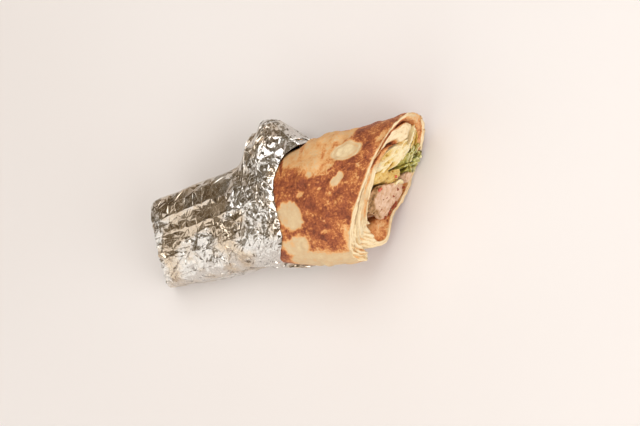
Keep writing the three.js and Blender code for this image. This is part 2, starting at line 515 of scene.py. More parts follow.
def calculate(
    material: bpy.types.Material, operation: str, *terms: bpy.types.NodeSocket | float
) -> bpy.types.NodeSocket:
    """Adds a sum.

    Args:
        material: The material that it goes in.
        operation: What is done.
        *terms: The outputs and constants that it is done to, in the order of the node's sockets.

    Returns:
        The result.
    """
    constants = {i: term for i, term in enumerate(terms) if isinstance(term, float)}
    links = {i: term for i, term in enumerate(terms) if i not in constants}
    return add_node(material, "ShaderNodeMath", {"operation": operation} | constants, links).outputs[0]


def cloud(
    material: bpy.types.Material, where: bpy.types.NodeSocket, size: float, **settings: float
) -> bpy.types.NodeSocket:
    """Adds soft noise.

    Args:
        material: The material that it goes in.
        where: The object coordinates in metres.
        size: The size of its patches, in millimetres.
        **settings: Its other sockets' constants.

    Returns:
        Its height, round 0.5.
    """
    scale = {"Scale": 1 / (size * MM)}
    return add_node(material, "ShaderNodeTexNoise", scale | settings, {"Vector": where}).outputs["Fac"]


def ease(
    material: bpy.types.Material,
    value: bpy.types.NodeSocket,
    span: tuple[float, float],
    ends: tuple[float, float],
) -> bpy.types.NodeSocket:
    """Adds a smooth change from one number to another.

    Args:
        material: The material that it goes in.
        value: What it follows.
        span: Where the change starts and ends.
        ends: The numbers before and after it.

    Returns:
        The result.
    """
    names = ("From Min", "From Max", "To Min", "To Max")
    settings = {"interpolation_type": "SMOOTHSTEP"} | dict(zip(names, span + ends))
    return add_node(material, "ShaderNodeMapRange", settings, {"Value": value}).outputs["Result"]


def bump(
    material: bpy.types.Material, height: bpy.types.NodeSocket, strength: float, distance: float
) -> bpy.types.NodeSocket:
    """Adds fine relief.

    Args:
        material: The material that it goes in.
        height: How high each place is.
        strength: How much of it shows.
        distance: How far a height of 1 stands, in metres.

    Returns:
        The normals.
    """
    settings = {"Strength": strength, "Distance": distance}
    return add_node(material, "ShaderNodeBump", settings, {"Height": height}).outputs["Normal"]


def start_material(name: str) -> tuple[bpy.types.Material, bpy.types.Node, bpy.types.NodeSocket]:
    """Starts a material.

    Args:
        name: What the real stuff is and how it was made.

    Returns:
        The material, its surface shader, and the object coordinates in metres.
    """
    material = bpy.data.materials.new(name)
    material.use_nodes = True
    shader = material.node_tree.nodes["Principled BSDF"]
    return material, shader, add_node(material, "ShaderNodeTexCoord").outputs["Object"]


def join(
    material: bpy.types.Material,
    shader: bpy.types.Node,
    sources: Mapping[str, bpy.types.NodeSocket],
    constants: Mapping[str, float | tuple[float, float, float]],
) -> None:
    """Feeds the surface shader.

    Args:
        material: The material that it belongs to.
        shader: The surface shader.
        sources: The output that feeds each socket, by name.
        constants: The other sockets' values, by name.
    """
    for socket, source in sources.items():
        material.node_tree.links.new(source, shader.inputs[socket])
    for socket, value in constants.items():
        shader.inputs[socket].default_value = value


@dataclass(frozen=True)
class GriddledNaan:
    """Wheat flatbread, griddled on a dry plate.

    The raised skin is toasted from gold to brown with a fine dark grain, the hollows that missed the plate
    stay cream, and the torn and cut crumb is nearly white. It has a dull sheen and no clear highlight.
    """

    doneness: tuple[tuple[float, str], ...] = (
        (0.0, "#fbeac9"), (0.08, "#f0dab0"), (0.13, "#e0c59a"), (0.18, "#d9ba90"), (0.24, "#e5b57d"),
        (0.32, "#dd9d5f"), (0.41, "#c87c44"), (0.53, "#a75b33"), (0.68, "#894529"), (0.84, "#6e361d"),
        (1.0, "#3b1d10"),
    )
    grain_mm: float = 1.3  # the grain of the toasted skin is nearer half of this; it is coarser to show
    blot_mm: float = 6.0
    vein_mm: float = 9.0
    relief_mm: float = 0.35
    roughness: float = 0.6

    def _veins(self, material: bpy.types.Material, where: bpy.types.NodeSocket) -> bpy.types.NodeSocket:
        """Adds the thin golden lines where the skin wrinkled off the plate.

        Args:
            material: The material that they go in.
            where: The object coordinates in metres.

        Returns:
            How much lighter the toasting is there.
        """
        wrinkle = cloud(material, where, self.vein_mm, Detail=4.0, Roughness=0.7, Distortion=0.6)
        gap = calculate(material, "ABSOLUTE", calculate(material, "SUBTRACT", wrinkle, 0.5))
        return ease(material, gap, (0.0, 0.035), (0.13, 0.0))

    def material(self) -> bpy.types.Material:
        """Makes the material, which reads the sheet's own "toast_and_shade" attribute: its toasting, with
        painted shade in the slit, the groove and the crumb's hollows at the cut.

        Returns:
            The material.
        """
        material, shader, where = start_material("griddled_naan")
        toast_and_shade = add_node(material, "ShaderNodeAttribute", {"attribute_name": "toast_and_shade"}).outputs["Fac"]
        grain = cloud(material, where, self.grain_mm, Detail=3.0, Roughness=0.65)
        blot = cloud(material, where, self.blot_mm, Detail=3.0, Roughness=0.6)
        # The pale skin hardly varies, so the grain fades in with the toasting.
        depth = ease(material, toast_and_shade, (0.1, 0.58), (0.1, 1.0))
        fine = calculate(material, "MULTIPLY_ADD", grain, 0.8, -0.4)
        broad = calculate(material, "MULTIPLY_ADD", blot, 0.75, -0.375)
        both = calculate(material, "ADD", fine, broad)
        both = calculate(material, "SUBTRACT", both, self._veins(material, where))
        spread = calculate(material, "MULTIPLY_ADD", both, depth, toast_and_shade)
        colour = add_node(material, "ShaderNodeValToRGB", {}, {"Fac": spread}, self.doneness).outputs["Color"]
        sources = {"Base Color": colour, "Normal": bump(material, grain, 0.7, self.relief_mm * MM)}
        join(material, shader, sources, {"Roughness": self.roughness, "IOR": 1.4})
        return material


@dataclass(frozen=True)
class RolledFoil:
    """Household aluminium foil, cold rolled, shiny side out.

    It mirrors the room softly. Each crumpled facet is flat, so it is either bright or dark all over, with
    hair-fine creases between.
    """

    tint: str = "#dad6d1"
    painted_reflection: str = "#cfbfab"  # painted warm reflection of the room, in patches and most on the smooth far side
    painted_reflection_mm: float = 16.0
    smoothed: float = 0.85  # how much flatter the facets are where a hand has smoothed the sheet
    roughness: float = 0.13
    facets_mm: tuple[float, float] = (4.4, 1.8)  # real ones are half of this; they are coarser to show
    tilt: tuple[float, float] = (0.14, 0.14)  # steepest slope of each size of facet

    def _facets(
        self, material: bpy.types.Material, where: bpy.types.NodeSocket, size: float, tilt: float
    ) -> bpy.types.NodeSocket:
        """Adds a mosaic of flat facets, each tilted its own way.

        Args:
            material: The material that it goes in.
            where: The object coordinates in metres.
            size: How wide a facet is, in millimetres.
            tilt: Its steepest slope.

        Returns:
            The height in metres.
        """
        cell = add_node(material, "ShaderNodeTexVoronoi", {"Scale": 1 / (size * MM)}, {"Vector": where})
        away = {"operation": "SUBTRACT"}
        lean = add_node(
            material, "ShaderNodeVectorMath", away | {1: (0.5, 0.5, 0.5)}, {0: cell.outputs["Color"]}
        ).outputs["Vector"]
        inside = add_node(
            material, "ShaderNodeVectorMath", away, {0: where, 1: cell.outputs["Position"]}
        ).outputs["Vector"]
        slope = add_node(
            material, "ShaderNodeVectorMath", {"operation": "DOT_PRODUCT"}, {0: lean, 1: inside}
        ).outputs["Value"]
        return calculate(material, "MULTIPLY", slope, 2 * tilt)

    def material(self) -> bpy.types.Material:
        """Makes the material, which reads the sheet's own "calm" attribute.

        Returns:
            The material.
        """
        material, shader, where = start_material("rolled_aluminium_foil")
        sizes = zip(self.facets_mm, self.tilt)
        coarse, fine = (self._facets(material, where, size, tilt) for size, tilt in sizes)
        calm = add_node(material, "ShaderNodeAttribute", {"attribute_name": "calm"}).outputs["Fac"]
        left = calculate(material, "MULTIPLY_ADD", calm, -self.smoothed, 1.0)
        height = calculate(material, "MULTIPLY", calculate(material, "ADD", coarse, fine), left)
        # Painted warm reflection: patches of a tan tint, with more of it on the smooth far side.
        reflection_share = calculate(
            material, "MULTIPLY_ADD", calm, 0.12, cloud(material, where, self.painted_reflection_mm, Detail=3.0)
        )
        stops = ((0.46, self.tint), (0.62, self.painted_reflection))
        tint = add_node(material, "ShaderNodeValToRGB", {}, {"Fac": reflection_share}, stops).outputs["Color"]
        sources = {"Base Color": tint, "Normal": bump(material, height, 1.0, 1.0)}
        join(material, shader, sources, {"Metallic": 1.0, "Roughness": self.roughness})
        return material


@dataclass(frozen=True)
class MoistFood:
    """Cooked or raw filling, cut through with a knife: moist flesh whose colour drifts between shades."""

    name: str
    shades: tuple[tuple[float, str], ...]
    patch_mm: float
    roughness: float = 0.4
    relief_mm: float = 0.3
    glow: float = 0.0  # light carried through the flesh

    def material(self) -> bpy.types.Material:
        """Makes the material, whose "shade" attribute moves it along its shades.

        Returns:
            The material.
        """
        material, shader, where = start_material(self.name)
        drift = cloud(material, where, self.patch_mm, Detail=4.0, Roughness=0.65)
        shade = add_node(material, "ShaderNodeAttribute", {"attribute_name": "shade"}).outputs["Fac"]
        both = calculate(material, "ADD", calculate(material, "MULTIPLY_ADD", drift, 0.9, -0.45), shade)
        colour = add_node(material, "ShaderNodeValToRGB", {}, {"Fac": both}, self.shades).outputs["Color"]
        sources = {"Base Color": colour, "Normal": bump(material, drift, 0.8, self.relief_mm * MM)}
        constants = {"Roughness": self.roughness, "IOR": 1.38}
        if self.glow:
            constants["Subsurface Weight"] = self.glow
            constants["Subsurface Radius"] = (1.0, 0.7, 0.4)
            constants["Subsurface Scale"] = 1.5 * MM
        join(material, shader, sources, constants)
        return material


# Roast breast meat: short pale fibres, rosy in the middle and browned where it met the pan; its darkest
# shades also stand for painted shade on one side and in its pits.
ROAST_CHICKEN = MoistFood(
    "roast_chicken_breast",
    (
        (0.0, "#4c2c12"), (0.16, "#855d2e"), (0.3, "#b3885a"), (0.44, "#cda280"), (0.6, "#dcb89b"),
        (0.85, "#ecd3be"),
    ),
    patch_mm=3.2, roughness=0.38, relief_mm=0.5,
)
# Shredded white cabbage and iceberg heart: crisp, nearly see-through at its edges, stained by the dressing;
# its darker shades also paint the shade in its folds.
PALE_LEAF = MoistFood(
    "shredded_white_cabbage",
    (
        (0.0, "#94691b"), (0.2, "#b98f34"), (0.4, "#d2ad55"), (0.62, "#e2c47c"), (1.0, "#f2e2b8"),
    ),
    patch_mm=4.0, roughness=0.35, glow=0.15,
)
# Onion cooked soft in turmeric and oil: wet, sticky and amber.
ONION_RELISH = MoistFood(
    "turmeric_onion_relish",
    (
        (0.0, "#8f4c18"), (0.25, "#c08534"), (0.5, "#d8b160"), (0.8, "#ecd38e"), (1.0, "#f6e8ba"),
    ),
    patch_mm=2.5, roughness=0.22, relief_mm=0.4, glow=0.1,
)
# Torn green lettuce: thin frilled blades, bright at the cut edge, with painted shade in the folds of the
# frills and at the heart's rim.
GREEN_LETTUCE = MoistFood(
    "torn_green_lettuce",
    (
        (0.0, "#2a200c"), (0.25, "#5a4d1a"), (0.42, "#958937"), (0.57, "#bdaf56"), (0.76, "#cccb82"),
        (1.0, "#f0e5b4"),
    ),
    patch_mm=3.0, roughness=0.33, glow=0.1,
)
# Tomato flesh and skin in small dice: wet and rosy.
DICED_TOMATO = MoistFood(
    "diced_tomato", ((0.0, "#9c3a20"), (0.4, "#cf5f48"), (0.7, "#e08870"), (1.0, "#eeb09a")),
    patch_mm=2.0, roughness=0.25, glow=0.1,
)
# Spice rubbed into the meat and burnt on the pan: dry, brick red to nearly black.
BURNT_SPICE = MoistFood(
    "burnt_spice_crust", ((0.0, "#2c130a"), (0.35, "#6d2c14"), (0.65, "#a9502a"), (1.0, "#cf8450")),
    patch_mm=1.4, roughness=0.55,
)


# ---- Naan --------------------------------------------------------------------------------------------
@dataclass(frozen=True)
class Patch:
    """A part of the naan that the griddle left paler, or browned more, than the rest."""

    along: float  # from the closed end, mm
    around: float  # degrees from the far side
    length: float  # along the roll, mm
    width: float  # round the roll, mm
    turn: float = 0.0  # degrees
    tone: float = 0.13  # toasting there, from 0 for raw to 1 for burnt
    strength: float = 1.0
    softness: float = 0.35  # share of the patch that its edge takes
    ring: float = 0.0  # extra toasting in a ring inside its edge
    ragged: float = 1.0  # how far its edge wanders, in shares of the usual


@dataclass(frozen=True)
class Spots:
    """Places on the naan's sheet."""

    x: Array  # from the closed end, mm
    arc: Array  # along the sheet from its outer end, mm
    degrees: Array  # angle along the spiral
    through: Array  # share of the way from the inner face to the outer one
    thickness: Array  # of the sheet there, mm
    to_cut: Array  # from the cut, along the roll, mm

    @property
    def outer_face(self) -> Array:
        """1 on the outer face and 0 on the inner one."""
        return np.where(self.through > 0.5, 1.0, 0.0)


@dataclass
class NaanSheet:
    """The naan: one sheet rolled inwards through a turn and a half."""

    roll: Roll
    rows: int = 106
    columns: int = 380
    layers_at_rim: int = 18
    end_radius: float = 2.0
    far_proud: float = 4.0  # the far lip of the cut leans out
    low_proud: float = 1.4  # and so does the lip below the hollow under the chicken
    lip_bulge: float = 4.4  # which sags outwards there
    lip_waist: float = 2.3  # and is drawn in just beside
    shoulder_rise: float = 2.8  # beside the foil the far side is puffed up
    pocket_rise: float = 7.5  # behind the cut the bread rises into the hollow below the chicken
    wall_swell: float = 4.4  # and the near wall thickens where the sheet is folded under the chicken
    far_swell: float = 2.0  # the crushed crumb of the far wall spreads inwards at the cut
    lip_swell: float = 1.8  # and outwards
    curl_swell: float = 1.2  # the inner end of the sheet spreads where the knife came out
    placed_to: tuple[float, float] = (92.0, 96.0)  # the patches below give way to strewn ones here, mm round
    sheet_depth: Law = Law(
        (
            (INNER_END, 5.8), (-340, 5.8), (-305, 5.6), (-285, 6.8), (-265, 9), (-245, 9.8),
            (-205, 9.4), (-176, 7.8), (-150, 3.6), (-110, 0.1), (-80, 0), (OUTER_END, 0),
        )
    )
    sheet_thickness: Law = Law(
        (
            (INNER_END, 5.6), (-358, 8), (-325, 8), (-285, 4), (-260, 4), (70, 4), (95, 4), (138, 8),
            (170, 8), (OUTER_END, 4),
        )
    )
    patches: tuple[Patch, ...] = (
        # The paler shoulder, and the darkest and reddest stretches of the skin.
        Patch(107, 38, 50, 40, tone=0.235, strength=0.96),
        Patch(154, 44, 18, 28, tone=0.45, strength=0.7, softness=0.8),
        Patch(97, 72, 24, 19, tone=0.69, strength=0.75, softness=0.7),
        Patch(119, 99, 32, 20, tone=0.63, strength=0.6, softness=0.8),
        Patch(148, 56, 6, 13, tone=0.63, strength=0.7, softness=0.7),
        Patch(91, 49, 2.4, 14, tone=0.78, strength=0.8),
        Patch(105, 37, 4, 12, 15, tone=0.43, strength=0.7),
        Patch(121, 49, 3, 10, 15, tone=0.45, strength=0.8),
        Patch(103, 137, 16, 8, tone=0.5, strength=0.6, softness=0.7),
        # The pale patches that missed the plate.
        Patch(124, 67, 12, 4.5, -12, tone=0.29, strength=0.9),
        Patch(134, 29, 13, 15, tone=0.2, strength=0.9),
        Patch(135.3, 56, 19.5, 11.8, tone=0.11, softness=0.16, ring=0.13, ragged=0.35),
        Patch(128.5, 82.3, 11.5, 5.0, -38, tone=0.17, softness=0.25),
        Patch(111, 71.5, 5.4, 4.8, tone=0.19),
        Patch(93.5, 95.8, 18, 18, tone=0.17, softness=0.2),
        Patch(103.5, 85.4, 6, 3.4, -20, tone=0.26, strength=0.8),
        Patch(92, 128.5, 22, 12, -10, tone=0.17, softness=0.25),
        Patch(106, 172, 54, 27, tone=0.17, softness=0.25),
        Patch(97, 161, 34, 17, tone=0.17, softness=0.25),
        Patch(103.5, 140.5, 4.5, 3, tone=0.26, strength=0.8),
        Patch(114, 116, 6, 2, -10, tone=0.29, strength=0.9),
        Patch(126.5, 127, 4, 15, 20, tone=0.2, strength=0.8),
        Patch(116.5, 85.5, 2.8, 2.2, tone=0.22, strength=0.8),
        Patch(122, 90, 3.8, 2.4, 30, tone=0.24, strength=0.8),
        Patch(110.3, 80, 2.6, 1.8, tone=0.26, strength=0.7),
        Patch(156, 50, 9, 5, -35, tone=0.26, strength=0.8),
    )
    # How far the second turn swells to meet the first, which leaves only a groove between them at the cut.
    puff: Law = Law(
        (
            (INNER_END, 0.2), (-306, 0.3), (-296, 0.9), (-284, 2.9), (-265, 4.7), (-245, 4.3),
            (-225, 3.2), (-205, 2.4), (-180, 1.8), (-158, 0), (OUTER_END, 0),
        )
    )
    noise: Noise = field(default_factory=lambda: Noise(11))

    def __post_init__(self) -> None:
        """Measures the sheet's middle line in the plan section, from its outer end inwards."""
        self._degrees = np.linspace(OUTER_END, INNER_END, 1600)
        middle = self._middle(self._degrees, 1.0)
        steps = np.linalg.norm(np.diff(middle, axis=0), axis=1)
        self._arc = np.concatenate([[0.0], np.cumsum(steps)])
        # The outer turn's upper half shows most, so the columns stand closer there.
        crowd = np.where(self._degrees[1:] > -20, 1.0, 0.6)
        self._spread = np.concatenate([[0.0], np.cumsum(steps * crowd)])
        self._spread /= self._spread[-1]

    def _middle(self, degrees: Array, tuck: Array | float) -> Array:
        """Points of the sheet's middle line in the plan section."""
        depth = self.sheet_depth(degrees) + self.sheet_thickness(degrees) / 2
        return self.roll.section(degrees, depth, tuck)

    def section(self, degrees: Array, outwards: Array, tuck: Array | float) -> Array:
        """Points of the sheet in the plan section.

        Args:
            degrees: Angle along the spiral.
            outwards: Distance from the middle line, towards the outer face.
            tuck: 0 for the round section, 1 for the one at the cut.

        Returns:
            Across and up for each point.
        """
        ahead = self._middle(np.maximum(degrees - SHEET_STEP, INNER_END), tuck)
        run = ahead - self._middle(np.minimum(degrees + SHEET_STEP, OUTER_END), tuck)
        across = beside(self._middle(degrees, tuck), run, outwards)
        return np.stack([across[:, 0], np.maximum(across[:, 1], 0.0)], axis=-1)

    def _toast(self, at: Spots) -> tuple[Array, Array]:
        """How far each place on the skin is toasted.

        Args:
            at: The places.

        Returns:
            The toasting, from 0 for raw to 1 for burnt, and how pale a patch each place lies in.
        """
        spot = plane(at.x, at.arc, 40.0 * at.outer_face)
        wander = [3.4 * self.noise.layers(spot / 11.0 + 50.0 * k, 2) for k in range(2)]
        wander = [w + 2.0 * self.noise.layers(spot / 3.4 + 90.0 * k, 3) for k, w in enumerate(wander)]
        toast_and_shade = 0.59 + 0.13 * self.noise.layers(spot / 24.0 + 3.0, 2) + 0.2 * self.noise.layers(spot / 7.0, 3)
        mottle = 0.07 * self.noise.layers(spot / 4.0 + 17.0, 2)
        pale = np.zeros(len(at.x))
        placed = fade_out(at.arc + 0.8 * wander[1], *self.placed_to) * at.outer_face
        for patch in self.patches:
            centre = np.interp(-patch.around, -self._degrees, self._arc)
            turn = math.radians(patch.turn)
            loose = patch.ragged * min(1.0, min(patch.length, patch.width) / 9.0)
            dx, dy = at.x - patch.along + loose * wander[0], at.arc - centre + loose * wander[1]
            u = (dx * math.cos(turn) - dy * math.sin(turn)) / (patch.length / 2)
            v = (dy * math.cos(turn) + dx * math.sin(turn)) / (patch.width / 2)
            out = np.hypot(u, v)
            inside = fade_out(out, 1 - patch.softness, 1 + patch.softness * 0.5) * placed * patch.strength
            tone = patch.tone + 0.02 * wander[0] * (patch.tone > PALE_BELOW) + mottle
            tone = tone + patch.ring * bell(out, 0.7, 0.08)
            toast_and_shade = blend(toast_and_shade, tone, inside)
            pale = np.maximum(pale, inside * (patch.tone < PALE_BELOW))
        inside = 1 - smooth_step(at.degrees + 12.0 * at.outer_face, -160.0, -150.0) * at.outer_face
        toast_and_shade = blend(toast_and_shade, 0.4 + 0.1 * self.noise.layers(spot / 5.0 + 30.0, 3), inside)
        skin = plane(at.x, at.arc)
        stray = self.noise.domes(skin / 17.0, 0.42, 0.4) + 0.07 * wander[0]
        stray = smooth_step(stray, 0.2, 0.5) * (1 - placed)
        fleck = self.noise.domes(skin / 4.5 + 60.0, 0.3, 0.22) + 0.1 * wander[1]
        scorch = self.noise.domes(skin / 3.6 + 90.0, 0.26, 0.16) + 0.08 * wander[0]
        toast_and_shade = blend(toast_and_shade, CRUMB_TOAST, stray)
        toast_and_shade = toast_and_shade + 0.24 * smooth_step(scorch, 0.2, 0.6) * (1 - pale)
        toast_and_shade = toast_and_shade - 0.22 * smooth_step(fleck, 0.3, 0.7) * (1 - pale)
        return toast_and_shade, np.maximum(pale, stray)

    def build(self, finish: GriddledNaan) -> bpy.types.Object:
        """Makes the naan.

        Args:
            finish: How it is baked.

        Returns:
            The object.
        """
        bm = slab(self.rows, self.columns, 0.5, self.layers_at_rim)
        bmesh.ops.translate(bm, verts=bm.verts, vec=(0.5, 0.5, 0.0))
        flat = places(bm.verts)
        share = np.interp(flat[:, 0], (0.0, 0.1, 1.0), (0.0, 0.42, 1.0))
        degrees = np.interp(flat[:, 1], self._spread, self._degrees)
        arc = np.interp(flat[:, 1], self._spread, self._arc)
        through = flat[:, 2]
        tuck = smooth_step(share, 0.55, 0.95)
        thickness = self.sheet_thickness(degrees)
        from_end = np.minimum(arc, self._arc[-1] - arc)
        past = np.clip(1 - from_end / self.end_radius, 0, 1)
        thickness = thickness * np.sqrt(np.maximum(1 - past * past, 0.02))
        bare = self.section(degrees, (through - 0.5) * thickness, tuck)
        x = self.roll.towards_cut(bare, BREAD_START, share)[:, 0]

        to_cut = self.roll.cut_at_axis + bare[:, 0] * CUT_TANGENT - x
        at = Spots(x, arc, degrees, through, thickness, to_cut)
        toast_and_shade, pale = self._toast(at)
        outwards = self._relief(at, pale)
        section = self.section(degrees, outwards, tuck)
        points = self.roll.towards_cut(section, BREAD_START, share)
        cut = (flat[:, 0] > AT_CUT).astype(float)
        crumb, hollow = self._crumb(at)
        reach = np.maximum(cut, fade_out(to_cut, 0.0, 2.5))
        points[:, 0] -= 4.0 * self._slit(at)[0] * cut
        lean = self.far_proud * bell(degrees, 14.0, 42.0) + self.low_proud * bell(degrees, -126.0, 14.0)
        points[:, 0] += crumb * reach + lean * fade_out(to_cut, 0.0, 22.0)
        points[:, 1] -= crumb * reach * 0.5
        # Painted shade in the groove between the turns near the cut.
        toast_and_shade = self._groove_toast_and_shade(toast_and_shade, at)
        edge = fade_out(to_cut + 0.4 * self.noise.layers(plane(arc, x) / 2.0, 2), 0.2, 1.5)
        toast_and_shade = blend(toast_and_shade, CRUMB_TOAST, edge)
        # The cut face, with painted shade in the crumb's hollows and in the slit.
        toast_and_shade = np.where(cut > 0.5, self._face_toast_and_shade(at, hollow), toast_and_shade)
        toast_and_shade = blend(toast_and_shade, CRUMB_TOAST, fade_out(arc, 0.6, 3.0) * (cut < 0.5))
        move(bm.verts, points)
        mark(bm, "toast_and_shade", toast_and_shade)
        return Piece("naan_roll", "naan", "bread", finish.material()).place(bm, self.roll)

    def _slit(self, at: Spots) -> tuple[Array, Array]:
        """Where the second turn parts at the cut: a slit, painted nearly black as its shade, and the toasted
        flap on its inner side.

        Args:
            at: The places.

        Returns:
            How far each place is in the slit, and in the flap, from 0 to 1.
        """
        back = -at.degrees
        middle = np.interp(back, (284.0, 297.0, 308.0, 319.0, 350.0), (1.0, 0.6, 0.34, 0.18, 0.06))
        middle = middle + 0.05 * self.noise.wave(plane(at.arc / 4.0, at.arc * 0 + 2.0))
        begun = smooth_step(back, 280.0, 288.0) * fade_out(back, 340.0, 356.0)
        slit = begun * bell(at.through, middle, 0.75 / self.sheet_thickness(at.degrees))
        ended = fade_out(back, 326.0, 346.0)
        flap = smooth_step(back, 278.0, 292.0) * ended * fade_out(at.through, middle - 0.1, middle)
        return slit, flap

    def _groove_toast_and_shade(self, toast_and_shade: Array, at: Spots) -> Array:
        """Toasts the skin that shows between the turns at the cut, and paints the shade in the groove between
        them.

        Args:
            toast_and_shade: The toasting of the skin so far.
            at: The places.

        Returns:
            The toasting, with painted shade, dark brown, where the curl's groove gapes, and raw where the
            turns are stuck together.
        """
        near = fade_out(at.to_cut, 9.0, 16.0)
        gaping = bell(at.degrees, 40.0, 30.0) * (1 - at.outer_face)
        # Painted shade: the skin is dark brown where the curl's groove gapes.
        dark = near * np.maximum(gaping, bell(at.degrees, -326.0, 28.0))
        stuck = near * at.outer_face * smooth_step(at.degrees, -302.0, -294.0) * (at.degrees < -150.0)
        return blend(blend(toast_and_shade, 0.1, stuck), 0.7, dark)

    def _face_toast_and_shade(self, at: Spots, hollow: Array) -> Array:
        """How far the cut face itself is toasted, with painted shade in the crumb's hollows and in the slit.

        Args:
            at: The places.
            hollow: How hollow the crumb is there, which is painted darker as shade.

        Returns:
            The toasting, from 0 for raw crumb to 1 for burnt, with that painted shade.
        """
        spots = self.noise.layers(plane(at.arc / 2.6, at.through * 2.0, 40.0), 3)
        # Toasting, middle and reach along the spiral in degrees, and how it spreads through the sheet. The
        # last two are the second turn's browned skin, which shows as a strip beside the chicken.
        stretches = (
            (0.38, -38.0, 32.0, fade_out(at.through + 0.2 * spots, 0.42, 0.62)),
            (0.2, -100.0, 30.0, bell(at.through, 0.4, 0.18)),
            (0.6, 42.0, 27.0, fade_out(at.through + 0.1 * spots, 0.14, 0.34)),
            (0.5, -325.0, 22.0, smooth_step(at.through + 0.08 * spots, 0.8, 0.92)),
            (0.26, 2.0, 14.0, bell(at.through + 0.1 * spots, 0.55, 0.16)),
            (0.42, -250.0, 13.0, bell(at.through, 0.38, 0.24)),
            (0.3, -276.0, 14.0, bell(at.through, 0.78, 0.12)),
        )
        seared = sum(
            tone * bell(at.degrees, middle, reach) * share for tone, middle, reach, share in stretches
        )
        slit, flap = self._slit(at)
        # Painted shade: the crumb is darker in its hollows.
        face = 0.04 + 0.24 * hollow + 0.06 * np.abs(2 * at.through - 1) ** 8 + seared + 0.05 * spots
        # Painted shade: the slit is nearly black.
        return blend(blend(face, 0.3 + 0.1 * spots, flap), 1.0, slit)

    def _growth(self, degrees: Array, to_cut: Array | float) -> tuple[Array, Array]:
        """How far the sheet swells beyond its own thickness.

        Args:
            degrees: Angle along the spiral.
            to_cut: Distance from the cut, along the roll.

        Returns:
            The growth of the outer half and of the inner half, in millimetres.
        """
        inner = self.wall_swell * bell(degrees, -206.0, 26.0) * fade_out(to_cut, 6.0, 26.0)
        inner = inner + self.far_swell * bell(degrees, -30.0, 40.0) * fade_out(to_cut, 3.0, 20.0)
        inner = inner + self.curl_swell * bell(degrees, -350.0, 22.0) * fade_out(to_cut, 4.0, 22.0)
        outer = self.lip_swell * bell(degrees, -42.0, 28.0) * fade_out(to_cut, 3.0, 20.0)
        return self.puff(degrees) + outer, inner

    def _relief(self, at: Spots, pale: Array) -> Array:
        """How far each place stands from the sheet's middle line, with its waves, blisters and grain.

        Args:
            at: The places.
            pale: How pale a patch the place lies in.

        Returns:
            Distances towards the outer face, in millimetres.
        """
        x, arc, degrees, to_cut = at.x, at.arc, at.degrees, at.to_cut
        spot = plane(x, arc)
        side = 2 * at.through - 1
        waves = 0.75 * self.noise.wave(spot / 26.0) + 0.3 * self.noise.wave(spot / 9.0 + 5.0)
        blisters = 0.9 * self.noise.domes(spot / 11.0 + 30.0, 0.5, 0.5) * (side > 0)
        grain = 0.14 * self.noise.layers(plane(x, arc, 9.0 * side) / 2.2, 2)
        bare = smooth_step(x, 78.0, 100.0) * (degrees > -190) + (degrees <= -190)
        flakes = 1.3 * self.noise.layers(plane(x / 9.0, arc / 3.5, 20.0), 2) * bell(degrees, 155.0, 30.0)
        crinkles = 2.0 * self.noise.layers(plane(x / 14.0, arc / 3.6, 60.0), 2) * bell(degrees, -80.0, 62.0)
        waves += flakes * fade_out(to_cut, 2.0, 12.0) + crinkles * fade_out(to_cut, 2.0, 14.0)
        grown_out, grown_in = self._growth(degrees, to_cut)
        growth = grown_out * np.maximum(side, 0.0) - grown_in * np.maximum(-side, 0.0)
        pocket = self.pocket_rise * bell(degrees, -134.0, 32.0) * smooth_step(to_cut, 0.3, 9.0) * (side < 0)
        lip = self.lip_bulge * bell(degrees, -127.0, 14.0) - self.lip_waist * bell(degrees, -108.0, 7.0)
        lip *= fade_out(to_cut, 2.0, 14.0)
        shoulder = self.shoulder_rise * bell(degrees, 25.0, 21.0) * smooth_step(x, 98.5, 109.0)
        shoulder *= fade_out(x, 116.0, 142.0) * (side > 0)
        lift = (waves + blisters * bare + grain) * (0.3 + 0.7 * bare) - (0.35 + 0.35 * pale) * (side > 0)
        lift = lift * np.where(side > 0, 1.0, 0.6)
        return side * at.thickness / 2 + lift + growth - pocket + lip + shoulder

    def _crumb(self, at: Spots) -> tuple[Array, Array]:
        """The cut crumb's own relief.

        Args:
            at: The places.

        Returns:
            How far the crumb stands proud of the cut plane, and how hollow it is, from 0 to 1.
        """
        grown_out, grown_in = self._growth(at.degrees, 0.0)
        depth = (1 - at.through) * (at.thickness + grown_out + grown_in)
        flaky = np.maximum(bell(at.degrees, 165.0, 38.0), 0.8 * bell(at.degrees, -205.0, 34.0))
        spot = plane(at.arc / 7.0, depth / 3.0)
        leaves = np.cos(2 * math.pi * (depth / 2.1 + 0.55 * self.noise.layers(spot, 2)))
        pores = self.noise.layers(plane(at.arc / 2.2, depth / 1.1, 4.0), 2)
        drift = self.noise.wave(plane(at.arc / 12.0, depth / 9.0, 8.0))
        skin = np.abs(2 * at.through - 1) ** 4
        height = (0.22 + 0.75 * flaky) * leaves + 0.35 * pores + (0.5 + 0.5 * flaky) * drift
        height += 0.35 * skin - 0.3
        hollow = smooth_step(-leaves * (0.4 + 0.6 * flaky) - 0.5 * pores, 0.1, 1.0)
        return height, hollow


